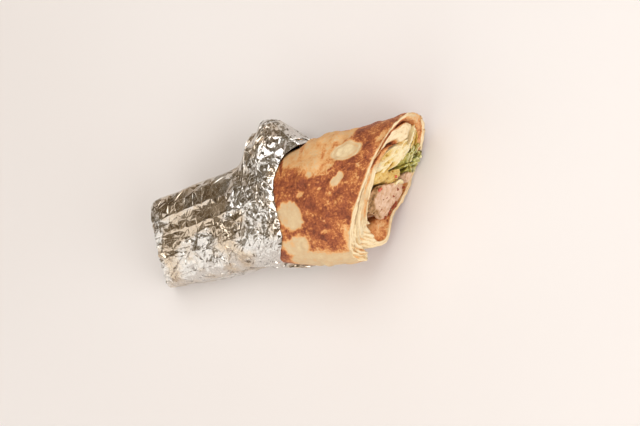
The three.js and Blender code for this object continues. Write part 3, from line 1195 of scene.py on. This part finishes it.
# ---- Foil --------------------------------------------------------------------------------------------
@dataclass
class FoilSleeve:
    """Kitchen foil pressed round the closed end: a crumpled sheet with a folded end and a pinched collar."""

    roll: Roll
    around: int = 26
    along: int = 18
    levels: int = 3
    cap_share: float = 0.16
    stand_off: float = 1.5
    wall: float = 0.12
    flare: float = 0.6
    flare_length: float = 12.0
    lip: float = 3.0  # length of the rim that turns in to the bread
    rim: Law = Law(
        (
            (-180, 73), (-162, 83), (-135, 95), (-90, 99), (-45, 104), (0, 104.5), (14, 99), (30, 93.5),
            (47, 90), (60, 87.5), (76, 85), (90, 85.5), (105, 85.5), (125, 82.5), (150, 77), (180, 73),
        )
    )
    collar: Law = Law(
        (
            (52, 0), (60, 2.5), (65, 9), (69, 15.5), (72, 12.5), (75, 17.5), (78, 19.2), (85, 17),
            (96, 9), (105, 2), (110, 0),
        )
    )
    noise: Noise = field(default_factory=lambda: Noise(29))

    def _tube(self, share: Array) -> Array:
        """Share of the way along the sleeve itself, which is 0 all over its folded end."""
        return np.clip((share - self.cap_share) / (1 - self.cap_share), 0, 1)

    def _calm(self, share: Array, turn: Array) -> Array:
        """How smooth the foil is, which is most on its far upper side.

        Args:
            share: Share of the way from the end's middle to the rim.
            turn: Share of a turn from the near side, over the top.

        Returns:
            1 where it is smooth and 0 where it is crumpled.
        """
        degrees = turn * 360.0 - 180.0
        tube = self._tube(share)
        near_edge = 110.0 - 58.0 * tube
        sides = smooth_step(degrees, -4.0, 14.0) * fade_out(degrees, near_edge, near_edge + 12.0)
        pleat = bell(degrees, 8.0, 40.0) * bell(tube, 0.66, 0.07)
        return sides * smooth_step(tube, 0.03, 0.1) * fade_out(tube, 0.62, 0.74) * (1 - pleat)

    def _strength(self, share: Array, turn: Array) -> Array:
        """How hard the foil is crumpled, one column for each level of detail.

        Args:
            share: Share of the way from the end's middle to the rim.
            turn: Share of a turn from the near side, over the top.

        Returns:
            Heights in millimetres.
        """
        tube = self._tube(share)
        band = smooth_step(tube, 0.76, 0.84)
        calm = self._calm(share, turn)
        end = fade_out(tube, 0.03, 0.12)
        spot = ring(turn * 2 * math.pi, 2.6, share * 11.0)
        lively = np.maximum(smooth_step(self.noise.wave(spot), -0.2, 0.4), np.maximum(band, end))
        hard = (1 - calm) * (0.3 + 0.7 * lively)
        return np.stack(
            [
                0.35 * calm + 1.9 * (1 - calm) * (1 - 0.7 * band) * (1 - 0.5 * end),
                0.22 * calm + 1.35 * (1 - calm) * (0.6 + 0.4 * lively) * (1 - 0.3 * band),
                0.08 * calm + 0.7 * hard + 0.3 * end,
                0.03 * calm + 0.24 * hard + 0.3 * end,
            ],
            axis=-1,
        )

    def _crumple(self) -> bmesh.types.BMesh:
        """Makes the flat crumpled sheet, each level of detail pushed about by waves half as long.

        Returns:
            The sheet: share of the way from the end's middle to the rim, share of a turn, and height.
        """
        bm = bmesh.new()
        bmesh.ops.create_grid(bm, x_segments=self.along, y_segments=self.around, size=0.5)
        bmesh.ops.translate(bm, verts=bm.verts, vec=(0.5, 0.5, 0.0))
        done = 0
        for level in range(self.levels + 1):
            if level:
                bmesh.ops.subdivide_edges(bm, edges=bm.edges[:], cuts=1)
            verts = bm.verts[done:] if level else bm.verts[:]
            done = len(bm.verts)
            at = places(verts)
            spot = ring(at[:, 1] * 2 * math.pi, 4.2, at[:, 0] * 16.0) * (1.7 * 2**level)
            push = [self.noise.wave(spot + 11.0 * k + 3.0 * level) for k in range(3)]
            strength = self._strength(at[:, 0], at[:, 1] % 1.0)[:, level]
            inner = (at[:, 0] > 0.001) & (at[:, 0] < 0.999)
            slack = 0.45 / 2**level
            at[:, 0] += np.where(inner, push[0] * slack / self.along, 0.0)
            at[:, 1] += np.where(at[:, 0] > self.cap_share, push[1] * slack / self.around, 0.0)
            at[:, 2] += push[2] * strength
            move(verts, at)
            if not level:
                bmesh.ops.triangulate(bm, faces=bm.faces[:], quad_method="SHORT_EDGE")
            bm.verts.ensure_lookup_table()
        return bm

    def _even(self, degrees: Array, boxy: Array | float) -> Array:
        """Turns bearings from the roll's axis into the section's own angles, which crowd at its corners.

        Args:
            degrees: Bearings from the roll's axis.
            boxy: How many times squarer the section is than the bread's own.

        Returns:
            The section's angles, in degrees.
        """
        angle = np.radians(degrees)
        c, s = np.cos(angle), np.sin(angle)
        power = np.where(c < 0, NEAR_SQUARENESS, FAR_SQUARENESS) * boxy / 2.0
        across = np.sign(c) * np.abs(c / PLAN_WIDTH) ** power
        up = np.sign(s) * np.abs(s / PLAN_HEIGHT) ** power
        return np.degrees(np.arctan2(up, across))

    def _angle(self, degrees: Array) -> Array:
        """Turns bearings from the roll's axis into the bread's own angles, from -180 to 180."""
        return (self._even(degrees, 1.0) + 180.0) % 360.0 - 180.0

    def _skin(self, degrees: Array, x: Array) -> Array:
        """The surface that the foil lies on: the bread, and the folded end with its square top edge.

        Args:
            degrees: Bearing from the roll's axis, 0 at the far side and 90 at the top.
            x: Distance from the closed end, before the fold there.

        Returns:
            Places in the roll.
        """
        past = np.clip(1 - x / 5.0, 0, 1)
        share = 1 - 0.07 * (1 - np.sqrt(1 - past * past))
        end = fade_out(x, 0.0, 55.0)
        near = np.cos(np.radians(degrees)) < 0
        boxy = 1 + end * np.where(near, -0.22, 0.35)
        tuck = smooth_step((x - BREAD_START) / (self.roll.cut_at_axis - BREAD_START), 0.5, 0.95)
        skin = self.roll.set_in(self.roll.section(self._even(degrees, boxy), tuck=tuck, boxy=boxy), x, share)
        low = np.maximum(1 - skin[:, 2] / self.roll.thickness(0.0), 0.0)
        side = self.roll.near_side(0.0)
        lean = smooth_step(-skin[:, 1], side * 0.75, -side * 0.6)
        skin[:, 0] -= (END_FOLD + TOE_LENGTH * low * lean) * fade_out(x, 0.0, TOE_BLEND)
        return skin

    def _looseness(self, degrees: Array, x: Array, rim: Array) -> Array:
        """How far the foil hangs loose off the bread: at its end's edges and in the pinched collar.

        Args:
            degrees: Bearing from the roll's axis.
            x: Distance from the closed end.
            rim: Distance of the rim from the closed end, at that bearing.

        Returns:
            Distances off the bread.
        """
        angle = self._angle(degrees)
        edges = bell(angle, 40.0, 25.0) + bell(angle, -145.0, 22.0)
        slack = FOIL_SLACK * edges * fade_out(x, 30.0, 55.0)
        pinch = self.collar(x) * np.maximum(1 - np.abs(angle - COLLAR_RIDGE) / COLLAR_SPREAD, 0.0)
        return slack + pinch * (1 - 0.93 * smooth_step(x, rim - 14.0, rim - 2.0))

    def build(self, finish: RolledFoil) -> bpy.types.Object:
        """Makes the foil.

        Args:
            finish: What it is rolled from.

        Returns:
            The object.
        """
        bm = self._crumple()
        flat = places(bm.verts)
        share, degrees, height = flat[:, 0], flat[:, 1] * 360.0 - 180.0, flat[:, 2]
        tube = self._tube(share)
        rim = self.rim(self._angle(degrees))
        rim += 1.1 * self.noise.wave(ring(np.radians(degrees), 6))
        x = rim * tube
        skin = self._skin(degrees, x)
        along = self._skin(degrees + 2, x) - self._skin(degrees - 2, x)
        along /= np.linalg.norm(along, axis=1)[:, None]
        outwards = plane(np.zeros(len(x)), along[:, 2], -along[:, 1])
        lean = np.maximum(0.0, np.cos(np.radians(degrees - 36.0)))
        flare = self.flare * lean * smooth_step(x, rim - self.flare_length, rim)
        band = smooth_step(tube, 0.77, 0.82)
        rolled = 0.8 + 0.45 * np.abs(np.sin(x / 1.5 + 2.0 * self.noise.wave(plane(degrees / 25.0, x / 9.0))))
        under = bell(degrees, -150.0, 22.0) * band
        pressed = self.stand_off - 0.9 * band + height + rolled * band + under + self._ridges(degrees, x)
        pressed = np.clip(pressed, 0.45, 4.0)
        lip = smooth_step(x, rim - self.lip, rim)
        reach = (pressed + flare + self._looseness(degrees, x, rim)) * (1 - lip) - 0.4 * lip
        points = skin + outwards * reach[:, None]
        radius = np.clip(share / self.cap_share, 0, 1)
        cap = share < self.cap_share
        middle = plane(x * 0 - 4.0, skin[:, 1] * 0 + 2.5, 15.0)
        pleat = 0.9 * np.cos(np.radians(degrees) * 7 + 2.0 * radius) * radius * (1 - radius) * 4
        fold = middle + (points - middle) * radius[:, None]
        fold[:, 0] -= np.clip(height * 0.8 + pleat, -1.5, 1.5)
        points = np.where(cap[:, None], fold, points)
        points[:, 2] = np.maximum(points[:, 2], 0.15)
        mark(bm, "calm", self._calm(share, flat[:, 1] % 1.0))
        move(bm.verts, points)
        bmesh.ops.remove_doubles(bm, verts=bm.verts, dist=0.004)
        bmesh.ops.recalc_face_normals(bm, faces=bm.faces)
        thicken(bm, self.wall)
        return Piece("foil_sleeve", "foil", "foil", finish.material(), smooth=False).place(bm, self.roll)

    def _ridges(self, degrees: Array, x: Array) -> Array:
        """The long creases that run down the smooth far side.

        Args:
            degrees: Bearing from the roll's axis.
            x: Distance from the closed end.

        Returns:
            Heights in millimetres.
        """
        total = np.zeros(len(x))
        for centre, sway, phase in ((30.0, 5.0, 0.3), (47.0, 7.0, 2.1), (63.0, 6.0, 4.0), (82.0, 7.0, 5.2)):
            line = centre + sway * np.sin(x / 19.0 + phase) - 0.12 * x
            total += 0.6 * np.clip(1 - np.abs(degrees - line) / 4.0, 0, 1)
        return total * smooth_step(x, 4.0, 14.0)


# ---- Fillings ----------------------------------------------------------------------------------------
@dataclass
class CutBlock:
    """A solid filling that runs through to the cut, where the knife has left a rough face."""

    roll: Roll
    name: str
    node: str | None
    slot: str
    outline: tuple[tuple[float, float], ...]  # across and up in the plan section
    finish: MoistFood
    proud: float = 1.0
    roughness: float = 0.5  # relief of the cut face, mm
    lumps: float = 0.8  # relief of the sides, mm
    grain: float = 2.5  # length of the relief's waves, mm
    dark_rim: float = 0.0  # how dark its rim is: partly its own browning, on the chicken, and partly painted shade
    shaded_side: float = 0.0  # and the bearing of the side with the most painted shade, in degrees
    fold: tuple[float, float, float] | None = None  # the folds' way in degrees, width and height in mm
    specks: float = 1.4  # depth of the pits, in shares of the relief
    undercut: float = 0.0  # how much smaller it is just behind its face, mm
    across: int = 44
    layers: int = 41
    seed: int = 3

    def build(self) -> bpy.types.Object:
        """Makes the filling.

        Returns:
            The object.
        """
        noise = Noise(self.seed)
        bm = slab(self.across, self.across, 1.0, self.layers)
        flat = places(bm.verts)
        u, v = flat[:, 0], flat[:, 1]
        disc = np.stack([u * np.sqrt(1 - v * v / 2), v * np.sqrt(1 - u * u / 2)], axis=-1)
        radius = np.linalg.norm(disc, axis=1)
        angle = np.degrees(np.arctan2(disc[:, 1], disc[:, 0])) % 360.0
        corners = np.array(self.outline)
        centre = corners.mean(axis=0)
        spokes = corners - centre
        turns = np.degrees(np.arctan2(spokes[:, 1], spokes[:, 0])) % 360.0
        order = np.argsort(turns)
        turns, lengths = turns[order], np.linalg.norm(spokes, axis=1)[order]
        around = np.concatenate([turns - 360, turns, turns + 360])
        reach = Law(tuple(zip(around, np.tile(lengths, 3))))(angle)
        back = 1 - (1 - flat[:, 2]) ** 1.8
        edge = smooth_step(radius, 0.82, 1.0)
        spin = np.radians(angle)
        swell = self.lumps * noise.layers(ring(spin, reach, back * 120.0) / (self.grain * 2.4), 3)
        face = smooth_step(flat[:, 2], 0.93, 1.0)
        reach = reach - 0.35 - edge * np.abs(swell) * (1 - 0.4 * face) - edge * 0.7 * face
        reach = reach - self.undercut * smooth_step((1 - back) * 130.0, 0.4, 7.0)
        section = centre + np.stack([np.cos(spin), np.sin(spin)], axis=-1) * (reach * radius)[:, None]
        cut = flat[:, 2] > AT_CUT
        rough = noise.layers(plane(section[:, 0], section[:, 1]) / self.grain, 3)
        holes = noise.domes(plane(section[:, 0], section[:, 1]) / (self.grain * 1.2), 0.35, 0.3)
        dome = 0.9 * fade_out(radius, 0.55, 1.0)
        ridges, height = self._folds(noise, section)
        relief = dome + self.roughness * (rough - self.specks * holes) + height * ridges
        proud = np.where(cut, self.proud - 1.0 + relief, self.proud - 1.0)
        points = self.roll.towards_cut(section, FILLING_START, back, proud)
        move(bm.verts, points)
        # The dark rim: on the chicken partly its browned crust, and partly painted shade, strongest on the
        # shaded side.
        facing = np.maximum(np.cos(np.radians(angle - self.shaded_side)), 0.0)
        dark_edge = smooth_step(radius + 0.25 * noise.layers(points / 4.5, 2) + 0.3 * facing, 0.8, 1.12)
        dark_edge *= 0.45 + 0.55 * facing
        mottle = noise.layers(points / 1.5 + 20.0, 2)
        # Painted shade: the face is a little darker where its relief dips and much darker in its pits.
        shade = 0.55 + 0.1 * rough + 0.16 * mottle - 0.5 * holes - self.dark_rim * dark_edge
        # Painted light and shade of the folds: lighter on their crests and darker in their valleys.
        shade = shade + 0.55 * ridges * (height > 0)
        shade = np.where(cut, shade, shade + self.dark_rim * 0.3)
        mark(bm, "shade", shade)
        return Piece(self.name, self.node, self.slot, self.finish.material()).place(bm, self.roll)

    def _folds(self, noise: Noise, section: Array) -> tuple[Array, float]:
        """The long folds of leaves that lie on one another.

        Args:
            noise: The filling's own waves.
            section: Across and up in the plan section.

        Returns:
            How far up a fold each place is, from -1 to 1, and how high the folds stand.
        """
        if self.fold is None:
            return np.zeros(len(section)), 0.0
        turn, width, height = self.fold
        c, s = math.cos(math.radians(turn)), math.sin(math.radians(turn))
        along, across = section[:, 0] * c + section[:, 1] * s, section[:, 1] * c - section[:, 0] * s
        sway = 1.6 * noise.wave(plane(along / 11.0, across / 9.0, 2.0))
        crest = 1 - 2 * np.abs(noise.wave(plane(along / (width * 4.0), (across + sway) / width, 6.0)))
        return crest - 0.35 * np.abs(noise.wave(plane(along / 3.0, across / 1.6, 12.0))), height


@dataclass(frozen=True)
class Blade:
    """One leaf, seen end on: where it runs in the plan section, and how it frills."""

    path: tuple[tuple[float, float], ...]
    frill: float = 0.8  # height of its waves, mm
    wave: float = 5.0  # length of its waves, mm
    proud: float = 1.0
    shade: float = 0.6


@dataclass
class LeafBundle:
    """Leaves packed together, each a thin frilled sheet that runs through to the cut."""

    roll: Roll
    name: str
    node: str | None
    slot: str
    blades: tuple[Blade, ...]
    finish: MoistFood
    thickness: float = 0.8
    start: float = FILLING_START  # where they begin, from the closed end
    seed: int = 5

    def build(self) -> bpy.types.Object:
        """Makes the leaves.

        Returns:
            The object.
        """
        bm = bmesh.new()
        noise = Noise(self.seed)
        shades: list[Array] = []
        for i, blade in enumerate(self.blades):
            verts = bmesh.ops.create_grid(bm, x_segments=44, y_segments=32, size=0.5)["verts"]
            flat = places(verts) + 0.5
            steps = np.linspace(0, 1, len(blade.path))
            run = [Law(tuple(zip(steps, column))) for column in zip(*blade.path)]
            at = np.stack([law(flat[:, 1]) for law in run], axis=-1)
            ahead = np.stack([law(np.minimum(flat[:, 1] + 0.02, 1.0)) for law in run], axis=-1)
            ahead -= np.stack([law(np.maximum(flat[:, 1] - 0.02, 0.0)) for law in run], axis=-1)
            back = 1 - (1 - flat[:, 0]) ** 2.4
            length = np.linalg.norm(np.diff(np.array(blade.path), axis=0), axis=1).sum()
            spot = plane(flat[:, 1] * length / blade.wave, back * 140.0 / (blade.wave * 1.5), 9.0 * i)
            ends = 0.6 + 0.8 * np.abs(2 * flat[:, 1] - 1)
            frill = blade.frill * noise.layers(spot, 2) * ends
            section = beside(at, ahead, frill)
            ragged = 0.9 * noise.layers(plane(flat[:, 1] * length / 2.5, 3.0 * i + flat[:, 0] * 0), 2)
            move(verts, self.roll.towards_cut(section, self.start, back, blade.proud + ragged))
            lip = smooth_step(flat[:, 0], 0.93, 1.0)
            # Painted light and shade on the frills: lighter where each bows one way and darker where it bows
            # the other.
            shades.append(blade.shade + 0.25 * lip + 0.25 * frill / max(blade.frill, 0.1))
        mark(bm, "shade", np.concatenate(shades))
        thicken(bm, self.thickness)
        return Piece(self.name, self.node, self.slot, self.finish.material()).place(bm, self.roll)


@dataclass
class Crumbs:
    """Small lumps lying on the cut face, such as burnt spice or diced tomato."""

    roll: Roll
    name: str
    slot: str
    zones: tuple[tuple[float, float, float, int], ...]  # across, up, reach and how many
    finish: MoistFood
    size: tuple[float, float] = (0.5, 1.3)
    proud: float = 0.8
    seed: int = 17

    def build(self) -> bpy.types.Object:
        """Makes the lumps.

        Returns:
            The object.
        """
        draw = np.random.default_rng(self.seed)
        noise = Noise(self.seed)
        bm = bmesh.new()
        for across, up, reach, count in self.zones:
            for _ in range(count):
                spot = np.array([[across, up]]) + draw.normal(size=(1, 2)) * reach / 2
                centre = self.roll.towards_cut(spot, FILLING_START, np.array([1.0]), self.proud)[0]
                size = draw.uniform(*self.size)
                stretch = draw.uniform(0.6, 1.5, size=3) * size
                turn = Matrix.Rotation(draw.uniform(0, math.tau), 4, Vector(draw.normal(size=3)).normalized())
                place = Matrix.Translation(centre) @ turn @ Matrix.Diagonal((*stretch, 1.0))
                verts = bmesh.ops.create_icosphere(bm, subdivisions=2, radius=1.0, matrix=place)["verts"]
                at = places(verts)
                push = 1 + 0.35 * noise.layers(at / size, 2)
                move(verts, centre + (at - centre) * push[:, None])
        mark(bm, "shade", np.full(len(bm.verts), 0.5))
        return Piece(self.name, None, self.slot, self.finish.material()).place(bm, self.roll)


# ---- Studio ------------------------------------------------------------------------------------------
class Softbox(Enum):
    """The studio's lamps: direction from the wrap, distance and size in metres, power and colour."""

    TOP = ((0.2, 0.4, 1.0), 1.3, 1.1, 9.4, "#ffffff")
    NEAR = ((-0.6, -0.58, 0.56), 1.3, 1.9, 11.6, "#ffffff")
    FRONT = ((0.85, -0.35, 0.5), 1.2, 0.9, 8.6, "#ffffff")


@dataclass
class Studio:
    """A plain pale floor, soft lamps, and the camera that looks down on the near side of the cut."""

    roll: Roll
    floor_colour: str = "#ece7e5"
    room_colours: tuple[tuple[float, str], ...] = ((0.36, "#564836"), (0.5, "#8a7c68"), (0.64, "#beb4a6"))
    room_light: float = 0.9
    look_at: tuple[float, float, float] = (119.4, -10.9, 61.1)  # in the roll's own axes
    back: tuple[float, float, float] = (0.478, -0.1536, 0.865)
    right: tuple[float, float, float] = (0.8477, -0.1783, -0.5)
    distance: float = 1.3
    lens: float = 138.0

    def build(self) -> None:
        """Makes the floor, the lamps, the room and the camera."""
        self._floor()
        for lamp in Softbox:
            self._lamp(lamp)
        self._room()
        self._camera()

    def _floor(self) -> None:
        """Makes the floor: matt painted board."""
        material, shader, where = start_material("matt_painted_board")
        drift = add_node(
            material, "ShaderNodeTexNoise", {"Scale": 3.0, "Detail": 2.0}, {"Vector": where}
        ).outputs["Fac"]
        stops = ((0.3, self.floor_colour), (0.7, "#e8e2df"))
        colour = add_node(material, "ShaderNodeValToRGB", {}, {"Fac": drift}, stops).outputs["Color"]
        join(material, shader, {"Base Color": colour}, {"Roughness": 0.7})
        bm = bmesh.new()
        bmesh.ops.create_grid(bm, x_segments=8, y_segments=8, size=4.0)
        mesh = bpy.data.meshes.new("floor")
        bm.to_mesh(mesh)
        bm.free()
        mesh.materials.append(material)
        floor = bpy.data.objects.new("floor", mesh)
        bpy.context.scene.collection.objects.link(floor)

    def _lamp(self, lamp: Softbox) -> None:
        """Makes one softbox.

        Args:
            lamp: Which one.
        """
        towards, distance, size, power, colour = lamp.value
        light = bpy.data.lights.new(f"softbox_{lamp.name.lower()}", "AREA")
        light.shape, light.size, light.energy = "SQUARE", size, power
        light.color = linear(colour)[:3]
        holder = bpy.data.objects.new(light.name, light)
        direction = Vector(towards).normalized()
        holder.location = direction * distance
        holder.rotation_euler = direction.to_track_quat("Z", "Y").to_euler()
        bpy.context.scene.collection.objects.link(holder)

    def _room(self) -> None:
        """Lights the rest of the room dimly."""
        world = bpy.data.worlds.new("dim_room")
        world.use_nodes = True
        background = world.node_tree.nodes["Background"]
        towards = add_node(world, "ShaderNodeTexCoord").outputs["Generated"]
        # Furniture and walls, so that the foil's facets have lighter and darker things to mirror.
        clutter = add_node(
            world, "ShaderNodeTexNoise", {"Scale": 2.6, "Detail": 3.0, "Roughness": 0.55}, {"Vector": towards}
        ).outputs["Fac"]
        colour = add_node(world, "ShaderNodeValToRGB", {}, {"Fac": clutter}, self.room_colours)
        world.node_tree.links.new(colour.outputs["Color"], background.inputs["Color"])
        background.inputs["Strength"].default_value = self.room_light
        bpy.context.scene.world = world

    def _camera(self) -> None:
        """Sets the camera."""
        back = Vector(self.back).normalized()
        right = Vector(self.right)
        right = (right - back * right.dot(back)).normalized()
        turn = Matrix((right, back.cross(right), back)).transposed().to_4x4()
        aim = Vector(self.roll.to_frame(np.array([self.look_at]))[0])
        lens = bpy.data.cameras.new("camera")
        lens.lens, lens.sensor_width = self.lens, FILM_WIDTH
        lens.clip_start, lens.clip_end = 0.05, 20.0
        camera = bpy.data.objects.new("camera", lens)
        camera.matrix_world = Matrix.Translation(aim + back * self.distance) @ turn
        bpy.context.scene.collection.objects.link(camera)
        bpy.context.scene.camera = camera
        # The colours are matched in plain sRGB.
        bpy.context.scene.view_settings.view_transform = "Standard"


# ---- The whole ---------------------------------------------------------------------------------------
def torn_leaves(
    seed: int,
    count: int,
    middle: tuple[float, float],
    spread: tuple[float, float],
    length: float,
    lowest: float = 5.4,
    proud: tuple[float, float] = (-0.8, 1.7),
) -> tuple[Blade, ...]:
    """Scatters short crinkled leaves, each turned its own way.

    Args:
        seed: Fixes where they fall.
        count: How many.
        middle: Across and up in the plan section.
        spread: How far from the middle they fall, across and up.
        length: How long each is, in millimetres.
        lowest: How low they reach in the plan section.
        proud: How far past the cut plane they end, from the least to the most.

    Returns:
        The leaves.
    """
    draw = np.random.default_rng(seed)
    blades = []
    for _ in range(count):
        centre = np.array(middle) + draw.uniform(-1, 1, 2) * spread
        turn = draw.uniform(0, math.pi)
        run = np.array([math.cos(turn), math.sin(turn)]) * length / 2
        bend = np.array([-run[1], run[0]]) * draw.uniform(-0.5, 0.5)
        path = (centre - run, centre - run / 3 + bend, centre + run / 3 + bend, centre + run)
        path = tuple((min(float(y), 26.0), max(float(z), lowest)) for y, z in path)
        ends, shade = draw.uniform(*proud), draw.uniform(0.25, 0.95)
        blades.append(Blade(path, frill=1.1, wave=2.8, proud=ends, shade=shade))
    return tuple(blades)


def fillings(roll: Roll) -> list[CutBlock | LeafBundle | Crumbs]:
    """The fillings, from the near side to the far side.

    Args:
        roll: The roll that they lie in.

    Returns:
        Builders, one for each piece.
    """
    return [
        CutBlock(
            roll, "chicken_chunk", "chicken_large", "chicken",
            (
                (-1.2, 38.6), (-4.4, 40.8), (-8.2, 41.4), (-11.8, 38.6), (-14.0, 29.6), (-15.8, 19.6),
                (-14.6, 14.8), (-10.4, 11.0), (-5.6, 7.8), (-1.2, 6.6), (2.2, 8.8), (2.8, 14.0),
                (2.2, 24.0), (0.8, 32.0),
            ),
            ROAST_CHICKEN, proud=1.2, roughness=1.2, grain=3.2, specks=1.8, dark_rim=0.36,
            shaded_side=118.0, undercut=3.2, across=72, seed=3,
        ),
        CutBlock(
            roll, "chicken_shred", "chicken_small", "chicken",
            ((6.0, 12.8), (3.4, 11.0), (2.2, 7.4), (3.6, 4.2), (6.6, 4.2), (8.1, 7.8), (7.6, 11.6)),
            ROAST_CHICKEN, proud=2.0, dark_rim=0.2, across=24, seed=4,
        ),
        CutBlock(
            roll, "onion_relish_strip", "onion_relish", "relish",
            (
                (3.6, 43.4), (0.8, 40.8), (1.2, 33.4), (2.0, 27.4), (2.4, 19.6), (4.6, 15.6),
                (8.6, 16.6), (8.4, 24.0), (7.4, 30.0), (7.0, 37.4),
            ),
            ONION_RELISH, proud=0.9, roughness=1.4, grain=1.7, across=36, seed=6,
        ),
        CutBlock(
            roll, "pale_leaf_bundle", "pale_leaf", "pale_leaf",
            (
                (6.6, 41.6), (10.0, 41.8), (14.0, 40.0), (18.2, 35.2), (21.2, 28.2), (22.8, 20.4),
                (20.8, 16.6), (17.0, 16.4), (12.6, 18.4), (9.6, 23.0), (6.8, 29.0), (5.2, 35.6),
            ),
            PALE_LEAF, proud=0.2, roughness=0.6, fold=(-57.0, 3.4, 2.4), specks=0.3, across=72, seed=7,
        ),
        LeafBundle(
            roll, "pale_leaf_ribs", None, "pale_leaf",
            (
                Blade(
                    ((30.2, 19.4), (26.6, 17.0), (22.0, 16.2), (17.2, 16.6), (12.6, 19.6)), frill=0.4,
                    wave=9.0, proud=0.8, shade=0.8,
                ),
                Blade(
                    ((29.2, 15.6), (25.6, 13.2), (22.4, 12.4), (18.6, 12.6)), frill=0.5,
                    proud=0.0, shade=0.4,
                ),
                Blade(((28.2, 12.2), (25.0, 9.6), (21.6, 8.2)), frill=0.6, proud=-0.4, shade=0.25),
            ),
            PALE_LEAF, thickness=2.2, seed=12,
        ),
        LeafBundle(
            roll, "white_onion_sliver", None, "pale_leaf",
            (Blade(((1.8, 20.4), (3.2, 17.8), (3.6, 15.2), (2.8, 12.4)), frill=0.2, proud=1.7, shade=0.9),),
            PALE_LEAF, thickness=1.3, seed=8,
        ),
        CutBlock(
            roll, "green_lettuce_heart", None, "lettuce",
            (
                (9.4, 15.0), (9.0, 11.6), (10.6, 7.8), (14.4, 6.0), (18.6, 7.4), (20.6, 11.4),
                (19.0, 15.2), (14.4, 16.4),
            ),
            GREEN_LETTUCE, proud=-0.9, dark_rim=0.25, roughness=1.4, grain=1.5, across=30, seed=10,
        ),
        LeafBundle(
            roll, "green_lettuce_frill", "green_lettuce", "lettuce",
            torn_leaves(23, 12, (13.6, 10.4), (5.4, 4.8), 7.0), GREEN_LETTUCE, thickness=0.6, seed=9,
        ),
        LeafBundle(
            roll, "green_lettuce_fringe", None, "lettuce",
            torn_leaves(47, 9, (13.4, 4.8), (3.6, 1.4), 5.0, lowest=3.0, proud=(0.6, 2.0)),
            GREEN_LETTUCE, thickness=0.6, start=146.0, seed=14,
        ),
        Crumbs(
            roll, "burnt_spice_bits", "chicken",
            (
                (-7.4, 11.4, 1.3, 6), (-9.8, 13.0, 1.3, 7), (-12.2, 14.8, 1.3, 7),
                (-14.2, 17.4, 1.2, 6), (0.6, 8.4, 0.9, 3), (-0.8, 15.0, 0.8, 3),
            ),
            BURNT_SPICE, size=(0.35, 0.95), proud=0.7, seed=17,
        ),
        Crumbs(
            roll, "ground_pepper", "chicken",
            ((-3.0, 16.0, 7.0, 5), (-7.0, 28.0, 8.0, 6), (12.0, 26.0, 7.0, 4)), BURNT_SPICE,
            size=(0.15, 0.5), proud=1.1, seed=31,
        ),
        Crumbs(
            roll, "diced_tomato", "relish", ((-2.0, 33.6, 1.2, 5), (4.6, 21.4, 0.6, 2)), DICED_TOMATO,
            size=(0.5, 0.9), proud=1.0, seed=19,
        ),
    ]


def main() -> None:
    """Builds the wrap and the studio round it."""
    logging.basicConfig(level=logging.INFO, format="%(name)s %(message)s")
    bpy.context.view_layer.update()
    roll = Roll()
    naan = NaanSheet(roll).build(GriddledNaan())
    LOG.info("made %s", naan.name)
    foil = FoilSleeve(roll).build(RolledFoil())
    LOG.info("made %s", foil.name)
    for filling in fillings(roll):
        LOG.info("made %s", filling.build().name)
    Studio(roll).build()


if __name__ == "__main__":
    main()
